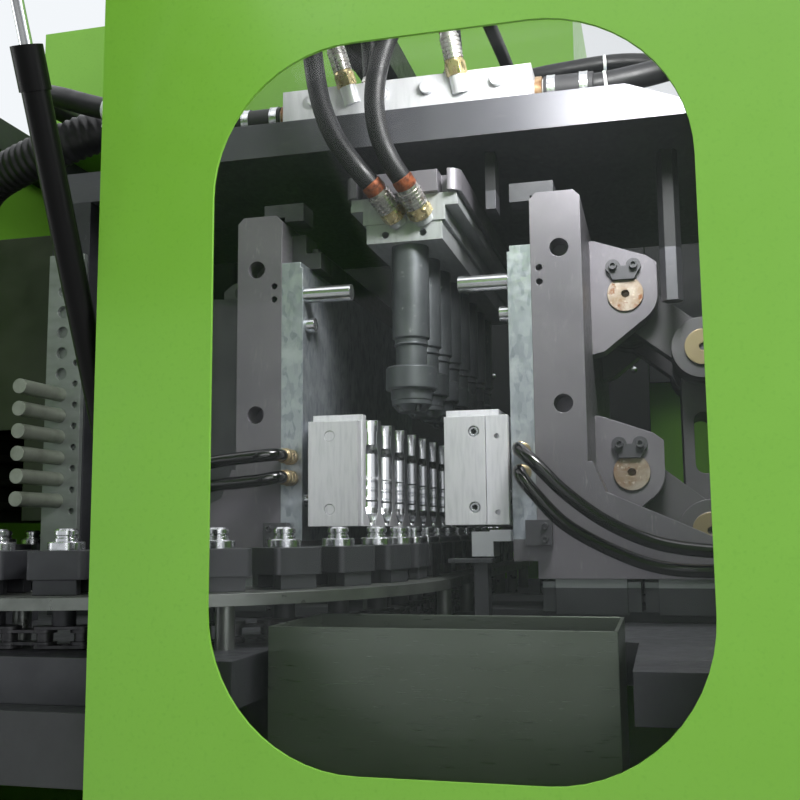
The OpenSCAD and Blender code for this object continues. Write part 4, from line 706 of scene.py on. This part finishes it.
def along(route, far):
    """Point and heading at a distance in mm along a route, straight on before its start."""
    left = far * MM
    if left <= 0:
        way = (route[1] - route[0]).normalized()
        return route[0] + way * left, way
    for p, q in zip(route, route[1:]):
        span = (q - p).length
        if left <= span:
            return p + (q - p) * (left / span), (q - p).normalized()
        left -= span
    return route[-1], (route[-1] - route[-2]).normalized()


def turned(name, finish, body, profile, route, sides=32, flats=()):
    """Turns a profile of (distance, radius) in mm about a route; flats lists the hex rings."""
    stations = [along(route, far) for far, _ in profile]
    rings = []
    for i, (side, up) in enumerate(untwisted(way for _, way in stations)):
        radius = profile[i][1]
        ring = []
        for a in around(sides):
            r = radius
            if i in flats:
                corner = (a + HALF_FLAT) % (2 * HALF_FLAT) - HALF_FLAT
                r = radius * math.cos(HALF_FLAT) / math.cos(corner)
            ring.append(stations[i][0] + (side * math.cos(a) + up * math.sin(a)) * r * MM)
        rings.append(ring)
    mesh = skinned(name, rings)
    piece(name, mesh, finish, body)
    mesh.set_sharp_from_angle(angle=SHARP_FROM)


def chamfered(name, finish, body, low, high, edge):
    """A block with its edges broken by a chamfer, between two corners in mm."""
    (x0, y0, z0), (x1, y1, z1) = low, high
    rings = []
    for y, c in ((y0, edge), (y0 + edge, 0), (y1 - edge, 0), (y1, edge)):
        ring = [(x0 + c + edge, z0 + c), (x1 - c - edge, z0 + c), (x1 - c, z0 + c + edge),
                (x1 - c, z1 - c - edge), (x1 - c - edge, z1 - c), (x0 + c + edge, z1 - c),
                (x0 + c, z1 - c - edge), (x0 + c, z0 + c + edge)]
        rings.append([at(x, y, z) for x, z in ring])
    piece(name, skinned(name, rings), finish, body, smooth=False)


# Hoses, on the same points as the source
BASE_HOSES = {
    "base_hose_a": [
        (30, -323, 1552), (26.5, -329.5, 1557.5), (23, -336, 1563), (3, -350, 1588),
        (-20, -355, 1622), (-38, -354, 1665), (-48, -352, 1710), (-54, -348, 1760),
        (-52, -342, 1800), (-44, -325, 1828), (-34, -290, 1848), (-25, -245, 1850),
        (-21, -206, 1826), (-20, -195, 1785), (-20, -195, 1766), (-20, -195, 1748)],
    "base_hose_b": [
        (66, -323, 1554), (63.5, -329.5, 1560), (61, -336, 1566), (47, -350, 1590),
        (34, -355, 1624), (28, -354, 1668), (34, -352, 1715), (50, -348, 1762), (68, -342, 1800),
        (80, -325, 1828), (88, -290, 1848), (93, -245, 1850), (95, -206, 1826), (96, -195, 1785),
        (96, -195, 1766), (96, -195, 1748)],
}
# Radius of each hose, with its points
MACHINE_HOSES = {
    "feed_hose_a": (10, [
        (-27, -306, 1733), (-29.5, -309, 1743), (-32, -312, 1753), (-40, -314, 1776),
        (-54, -306, 1802), (-70, -290, 1828), (-82, -256, 1849), (-85, -190, 1856),
        (-80, -80, 1857), (-54, 50, 1856), (-20, 170, 1858), (-11, 258, 1868), (-10, 312, 1888),
        (-10, 328, 1910), (-10, 328, 1920), (-10, 328, 1929.8)]),
    "feed_hose_b": (10, [
        (117.8, -306, 1731), (116.3, -309, 1741), (114.8, -312, 1751), (110, -316, 1776),
        (108, -312, 1802), (114, -296, 1832), (123, -262, 1857), (128, -190, 1872),
        (132, -60, 1880), (136, 100, 1884), (138, 220, 1886), (139, 292, 1894), (140, 324, 1910),
        (140, 330, 1917), (140, 330, 1923), (140, 330, 1929.8)]),
    "side_hose_right": (15, [
        (274.2, -261, 1696), (283, -261, 1696), (292, -261, 1696), (350, -258, 1704),
        (410, -240, 1722), (470, -205, 1742), (530, -150, 1762), (560, -60, 1780), (550, 50, 1800),
        (505, 150, 1820), (430, 240, 1836), (345, 308, 1842), (275, 350, 1848), (225, 376, 1862),
        (200, 389, 1882), (195, 390, 1904), (195, 390, 1917), (195, 390, 1929.8)]),
    "side_hose_left": (15, [
        (-174.2, -261, 1696), (-184, -261, 1696), (-194, -261, 1696), (-260, -264, 1706),
        (-330, -270, 1722), (-400, -274, 1742), (-460, -268, 1765), (-520, -240, 1790),
        (-560, -180, 1815), (-585, -90, 1835), (-590, 10, 1848), (-585, 110, 1856),
        (-575, 210, 1860), (-562, 290, 1864), (-554, 345, 1871), (-550, 378, 1888),
        (-550, 386, 1907), (-550, 386, 1918), (-550, 386, 1929.8)]),
    "duct_hose": (31, [
        (-700, -120, 1588.2), (-700, -120, 1597), (-700, -120, 1606), (-697, -126, 1628),
        (-686, -142, 1652), (-662, -163, 1671), (-624, -186, 1684), (-576, -200, 1696),
        (-524, -206, 1711), (-470, -202, 1730), (-414, -180, 1754), (-364, -130, 1778),
        (-333, -50, 1800), (-320, 50, 1814), (-320, 150, 1824), (-320, 230, 1830),
        (-320, 298, 1840), (-320, 346, 1860), (-320, 374, 1886), (-320, 381, 1910),
        (-320, 381, 1920), (-320, 381, 1929.8)]),
    "bundle": (11, [
        (-250, 382, 1929.8), (-250, 382, 1920), (-250, 382, 1910), (-244, 370, 1888),
        (-228, 330, 1864), (-190, 250, 1848), (-160, 140, 1835), (-150, 40, 1815),
        (-150, -50, 1790), (-140, -120, 1765), (-100, -150, 1753), (-30, -158, 1752),
        (60, -156, 1754), (150, -160, 1758), (240, -166, 1764), (330, -160, 1768),
        (420, -130, 1758), (510, -70, 1735), (600, 20, 1715), (660, 110, 1702), (674, 168, 1696),
        (664, 210, 1693), (642, 228, 1692), (622, 231, 1692), (613, 231, 1692),
        (604.2, 231, 1692)]),
}
# Points of the clamp's water hoses, as distances from the clamp's middle plane
WATER_HOSES = {
    ("right", "lower"): [
        (143, -340.2, 1214), (143, -345, 1214), (143, -350, 1214), (146, -358, 1208),
        (162, -365, 1188), (192, -362, 1156), (238, -350, 1128), (290, -340, 1108),
        (340, -340, 1103), (368, -338, 1105), (383, -330, 1107), (385, -322, 1107),
        (385, -316, 1107), (385, -310.2, 1107)],
    ("right", "upper"): [
        (143, -340.2, 1240), (143, -345, 1240), (143, -350, 1240), (146, -360, 1237),
        (163, -372, 1222), (192, -374, 1192), (236, -366, 1158), (288, -354, 1134),
        (340, -348, 1125), (374, -344, 1124), (388, -334, 1124), (390, -324, 1124),
        (390, -317, 1124), (390, -310.2, 1124)],
    ("left", "lower"): [
        (143, -340.2, 1214), (143, -345, 1214), (143, -350, 1214), (146, -358, 1213),
        (160, -366, 1210), (190, -368, 1207), (217, -366, 1205), (262, -360, 1196),
        (306, -352, 1172), (345, -344, 1138), (372, -338, 1114), (383, -330, 1107),
        (385, -322, 1107), (385, -316, 1107), (385, -310.2, 1107)],
    ("left", "upper"): [
        (143, -340.2, 1240), (143, -345, 1240), (143, -350, 1240), (146, -360, 1240),
        (160, -370, 1238), (190, -374, 1235), (218, -373, 1232), (266, -370, 1222),
        (314, -364, 1196), (354, -356, 1160), (380, -346, 1132), (390, -334, 1124),
        (390, -324, 1124), (390, -317, 1124), (390, -310.2, 1124)],
}
BASE_HOSE_R = 12.5
WATER_HOSE_R = 7.5
# Where a base hose's ferrule starts, as a distance along its route
BASE_FERRULE_START = -13
# Curve pieces from point to point, finer where ribs have to show
ROUTE_STEPS = 8
RIBBED_STEPS = 24
DUCT_GROOVE = 2.4
DUCT_RIB_PITCH = 11
SLEEVE_R = 17.6
# Distances along the hoses of the worm clamps and cable ties
SLEEVE_CLAMPS = {"clamp_a": -46, "clamp_b": -6}
SIDE_HOSE_TIES = (24, 210, 430, 640)
BUNDLE_TIES = range(420, 1171, 150)


def ribbed(start, end, radius, rise, pitch):
    """Profile of a crimped ferrule, with a rib every pitch from start to end."""
    profile = [(start, radius)]
    far = start
    while far + pitch <= end:
        profile += [(far + 0.4, radius + rise), (far + pitch * 0.6, radius + rise),
                    (far + pitch * 0.6 + 0.4, radius + rise * 0.35),
                    (far + pitch - 0.1, radius + rise * 0.35)]
        far += pitch
    profile.append((end, radius))
    return profile


def hose_fitting(name, route, radius, body, nut, ferrule, band, start=0):
    """Hex nut before the place start, ribbed ferrule after it and a rusty band beyond."""
    r = radius
    turned(name + "_nut", "yellow_zinc", body,
           [(start - nut, r + 1), (start - nut + 1, r + 3.4), (start - 4, r + 3.4),
            (start - 3, r + 2), (start, r + 1.4)], route, 36, flats=(1, 2))
    end = start + ferrule
    turned(name + "_ferrule", "ferrule_steel", body, ribbed(start, end, r + 0.5, 1.9, 5), route)
    turned(name + "_band", "copper_band", body,
           [(end, r + 0.3), (end + 1, r + 1.1), (end + band - 1, r + 1.0), (end + band, r + 0.3)],
           route)


def worm_clamp(name, route, far, radius, body):
    """A steel band with raised edges and its tangent screw, from a distance on."""
    turned(name, "clamp_steel", body,
           [(far, radius), (far + 0.5, radius + 1.3), (far + 2, radius + 1.3),
            (far + 2.4, radius + 0.8), (far + 8.6, radius + 0.8), (far + 9, radius + 1.3),
            (far + 10.5, radius + 1.3), (far + 11, radius)], route, 40)
    place, way = along(route, far + 5.5)
    _, side, up = frame_along(way)
    screw = [place + up * (radius + 3.5) * MM + side * end * MM for end in (-9, 9)]
    turned(name + "_screw", "clamp_steel", body,
           [(0, 2.4), (0.6, 3.4), (4, 3.4), (4.5, 2.2), (5.5, 3.0), (12, 3.0), (12.6, 2.0),
            (17, 2.0), (18, 1.2)], screw, 18, flats=(1, 2))


def cable_tie(name, route, far, radius, body):
    """A tie's band, with its head and cut end standing off it."""
    turned(name, "tie_white", body,
           [(far, radius), (far + 0.3, radius + 0.9), (far + 3.7, radius + 0.9),
            (far + 4, radius)], route, 28)
    place, way = along(route, far + 2)
    up = frame_along(way)[2]
    turned(name + "_head", "tie_white", body,
           [(0, 2.2), (0.5, 3.2), (4.5, 3.2), (5, 1.6), (11, 1.4), (11.5, 0.8)],
           [place + up * radius * MM, place + up * (radius + 12) * MM], 4)


def make_base_hoses():
    for name, points in BASE_HOSES.items():
        route = smooth_route([at(*p) for p in points], ROUTE_STEPS)
        hose = piece(name, tube_mesh(name, route, BASE_HOSE_R * MM), "black_rubber", None)
        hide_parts("base_hoses")
        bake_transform(hose)
        hose_fitting(name, route, BASE_HOSE_R, "base_unit", nut=16, ferrule=28, band=12,
                     start=BASE_FERRULE_START)
        turned(name + "_top_ferrule", "ferrule_steel", "machine",
               ribbed(0, 22, BASE_HOSE_R + 0.5, 1.6, 5), list(reversed(route)))


def make_machine_hoses():
    for name, (radius, points) in MACHINE_HOSES.items():
        duct = name == "duct_hose"
        route = smooth_route([at(*p) for p in points], RIBBED_STEPS if duct else ROUTE_STEPS)
        ribs = (DUCT_GROOVE * MM, DUCT_RIB_PITCH * MM) if duct else ()
        hose = piece(name, tube_mesh(name, route, radius * MM, *ribs), "black_rubber", "machine")
        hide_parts("machine_hoses")
        if name.startswith("feed"):
            hose_fitting(name, route, radius, "machine", nut=20, ferrule=34, band=8)
        if name.startswith("side"):
            side_hose_fitting(name, route, radius)
        ties = {"side": SIDE_HOSE_TIES, "bundle": BUNDLE_TIES}.get(name.split("_")[0], ())
        for k, far in enumerate(ties):
            cable_tie(f"{name}_tie_{k}", route, far, radius, "machine")


def side_hose_fitting(name, route, radius):
    """Collar and rubber sleeve with two worm clamps, over the start of a side hose."""
    turned(name + "_collar", "rusty_brass", "machine",
           [(-61, radius + 0.2), (-60, 18.5), (-52, 18.5), (-51, radius + 0.2)], route)
    turned(name + "_sleeve", "sleeve_rubber", "machine",
           [(-50, radius + 0.3), (-49.5, SLEEVE_R), (11, SLEEVE_R), (12, radius + 0.2)], route)
    for clamp, far in SLEEVE_CLAMPS.items():
        worm_clamp(f"{name}_{clamp}", route, far, SLEEVE_R, "machine")


def make_water_hoses():
    for (side, row), points in WATER_HOSES.items():
        sign = 1 if side == "right" else -1
        body = f"moving_platen_{side}"
        route = smooth_route([at(CLAMP_X + sign * d, y, z) for d, y, z in points], ROUTE_STEPS)
        name = f"water_hose_{row}_{side}"
        hose = piece(name, tube_mesh(name, route, WATER_HOSE_R * MM), "wet_hose", body)
        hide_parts(f"water_hoses_{side}")
        # Brass coupling over the stub: foot, hexagon and knurled sleeve
        turned(name + "_coupling", "tan_brass", body,
               [(-30, 8.6), (-29.5, 9.4), (-22, 9.4), (-21.5, 8.2), (-19, 8.2), (-18.5, 10.2),
                (-12, 10.2), (-11.5, 8.0), (-10, 8.0), (-9.5, 9.0), (-2, 9.0), (-1.5, 8.2),
                (2, 8.2), (2.5, 7.6)], route, 36, flats=(5, 6))
        turned(name + "_end", "clamp_steel", body,
               [(0, 8.0), (0.5, 9.2), (9, 9.2), (9.5, 7.7)], list(reversed(route)), 30)


# Screws and plugs in the moulds' front blocks, whose front face is at BLOCK_FRONT, by distance
# from the clamp's middle plane and height
BLOCK_FRONT = -328.0
BLOCK_SCREWS = ((88, 1175), (88, 1263))
SCREW_R = 6.2
SCREW_H = 9.4
SCREW_SEAT = 10
PLUG_R = 6.3
PLUG_H = 5.6
PLUG_SEAT = 6


def forward(place, length):
    """A route straight to the front, its length in mm."""
    return [place, place + Vector((0, -length * MM, 0))]


def socket_screw(name, finish, body, place, radius, length):
    """Cap screw head with a hexagon socket, facing the front; the socket's floor is a dark disc of
    painted shade.
    """
    way = forward(place, length)
    turned(name, finish, body,
           [(0, radius), (length - 0.8, radius), (length, radius - 0.8), (length, radius * 0.56),
            (length * 0.4, radius * 0.56)], way, 36, flats=(3, 4))
    # The socket's floor is a dark disc of painted shade
    turned(name + "_socket", "shade_grey", body,
           [(length * 0.4, radius * 0.5), (length * 0.5, radius * 0.5)], way, 36, flats=(0, 1))


def make_mould_screws():
    for k, (distance, z) in enumerate(BLOCK_SCREWS):
        socket_screw(f"mould_screw_{k}", "bright_steel", "moving_platen_right",
                     at(CLAMP_X + distance, BLOCK_FRONT + SCREW_SEAT, z), SCREW_R, SCREW_H)
        place = at(CLAMP_X - distance, BLOCK_FRONT + PLUG_SEAT, z)
        turned(f"mould_plug_{k}", "mould_aluminium", "moving_platen_left",
               [(0, PLUG_R), (PLUG_H - 0.4, PLUG_R), (PLUG_H, PLUG_R - 0.4)],
               forward(place, PLUG_H))


# Dark sheets of painted shade behind the clamp, on the rear posts, standing for the unlit inside:
# left edge, right edge and lower edge
SHADE_SHEETS = {"shade_screen": (-420, 330, 1110), "shade_screen_side": (330.5, 700, 1450)}
SHEET_FRONT = 691
SHEET_T = 4
SHEET_TOP = 1860
SHEET_CHAMFER = 1.5
SHEET_SCREWS_X = (-390, 0, 300, 360, 670)
SHEET_SCREWS_Z = (1480, 1820)
SHEET_SCREW_H = 5


def make_shade_screen():
    for name, (x0, x1, z0) in SHADE_SHEETS.items():
        chamfered(name, "shade_grey", "machine", (x0, SHEET_FRONT, z0),
                  (x1, SHEET_FRONT + SHEET_T, SHEET_TOP), SHEET_CHAMFER)
    for x in SHEET_SCREWS_X:
        for z in SHEET_SCREWS_Z:
            turned(f"screen_screw_{x}_{z}", "bright_steel", "machine",
                   [(0, 6), (0.5, 7), (2, 7), (4.5, 4.5), (5, 2)],
                   forward(at(x, SHEET_FRONT, z), SHEET_SCREW_H), 20)


# Floor, light and world
FLOOR_HALF = 9.0


def stage():
    """A plain square floor in metres."""
    mesh = bpy.data.meshes.new("floor")
    corners = [(x * FLOOR_HALF, y * FLOOR_HALF, 0) for x, y in ((-1, -1), (1, -1), (1, 1), (-1, 1))]
    mesh.from_pydata(corners, [], [(0, 1, 2, 3)])
    mesh.materials.append(floor_paint())
    floor = bpy.data.objects.new("floor", mesh)
    bpy.context.scene.collection.objects.link(floor)


def area_light(name, place, target, size, power):
    """A soft lamp at a place, turned towards its target and not seen by the camera."""
    data = bpy.data.lights.new(name, "AREA")
    data.shape = "RECTANGLE"
    data.size, data.size_y = size
    data.energy = power
    lamp = bpy.data.objects.new(name, data)
    lamp.visible_camera = False
    bpy.context.scene.collection.objects.link(lamp)
    way = Vector(target) - Vector(place)
    turn = way.to_track_quat("-Z", "Y").to_matrix().to_4x4()
    lamp.matrix_world = Matrix.Translation(place) @ turn


# The world's colour, and its strength as a light; as a background its strength is 1
WORLD_COLOR = (0.9, 0.93, 0.96, 1.0)
WORLD_LIGHT = 0.12
# Lamps: name, place and target in the machine's frame, size in metres, power in watts
LAMPS = (
    ("front", (250, -2000, 3300), (100, -760, 1300), (3.6, 2.4), 34),
    ("front_far", (2800, -4000, 2300), (0, -760, 1000), (2.4, 2.4), 60),
    ("right", (4300, -300, 2200), (900, 0, 1000), (3.0, 2.6), 80),
    ("left", (-4300, -500, 2200), (-900, 0, 1000), (3.0, 2.6), 80),
    ("rear", (0, 4300, 2200), (0, 760, 1000), (3.0, 2.6), 95),
    ("ceiling", (0, 0, 9000), (0, 0, 0), (14.0, 14.0), 420),
    ("inside", (350, -560, 1760), (140, -300, 1330), (0.2, 0.14), 6.0),
)


def light():
    """A pale world, dimmer for the light it gives than for what is seen of it, and the lamps."""
    world = bpy.data.worlds.new("world")
    bpy.context.scene.world = world
    world.use_nodes = True
    tree = world.node_tree
    background = tree.nodes["Background"]
    background.inputs["Color"].default_value = WORLD_COLOR
    path = tree.nodes.new("ShaderNodeLightPath")
    seen = path.outputs["Is Camera Ray"]
    for ray in ("Is Glossy Ray", "Is Transmission Ray"):
        both = tree.nodes.new("ShaderNodeMath")
        both.operation = "MAXIMUM"
        tree.links.new(seen, both.inputs[0])
        tree.links.new(path.outputs[ray], both.inputs[1])
        seen = both.outputs[0]
    strength = tree.nodes.new("ShaderNodeMapRange")
    strength.inputs["To Min"].default_value = WORLD_LIGHT
    tree.links.new(seen, strength.inputs["Value"])
    tree.links.new(strength.outputs["Result"], background.inputs["Strength"])
    for name, place, target, size, power in LAMPS:
        area_light(name, at(*place), at(*target), size, power)


make_camera()
make_base_hoses()
make_machine_hoses()
make_water_hoses()
make_mould_screws()
make_shade_screen()
dress_nodes()
stage()
light()
bpy.context.scene.view_settings.view_transform = "Standard"
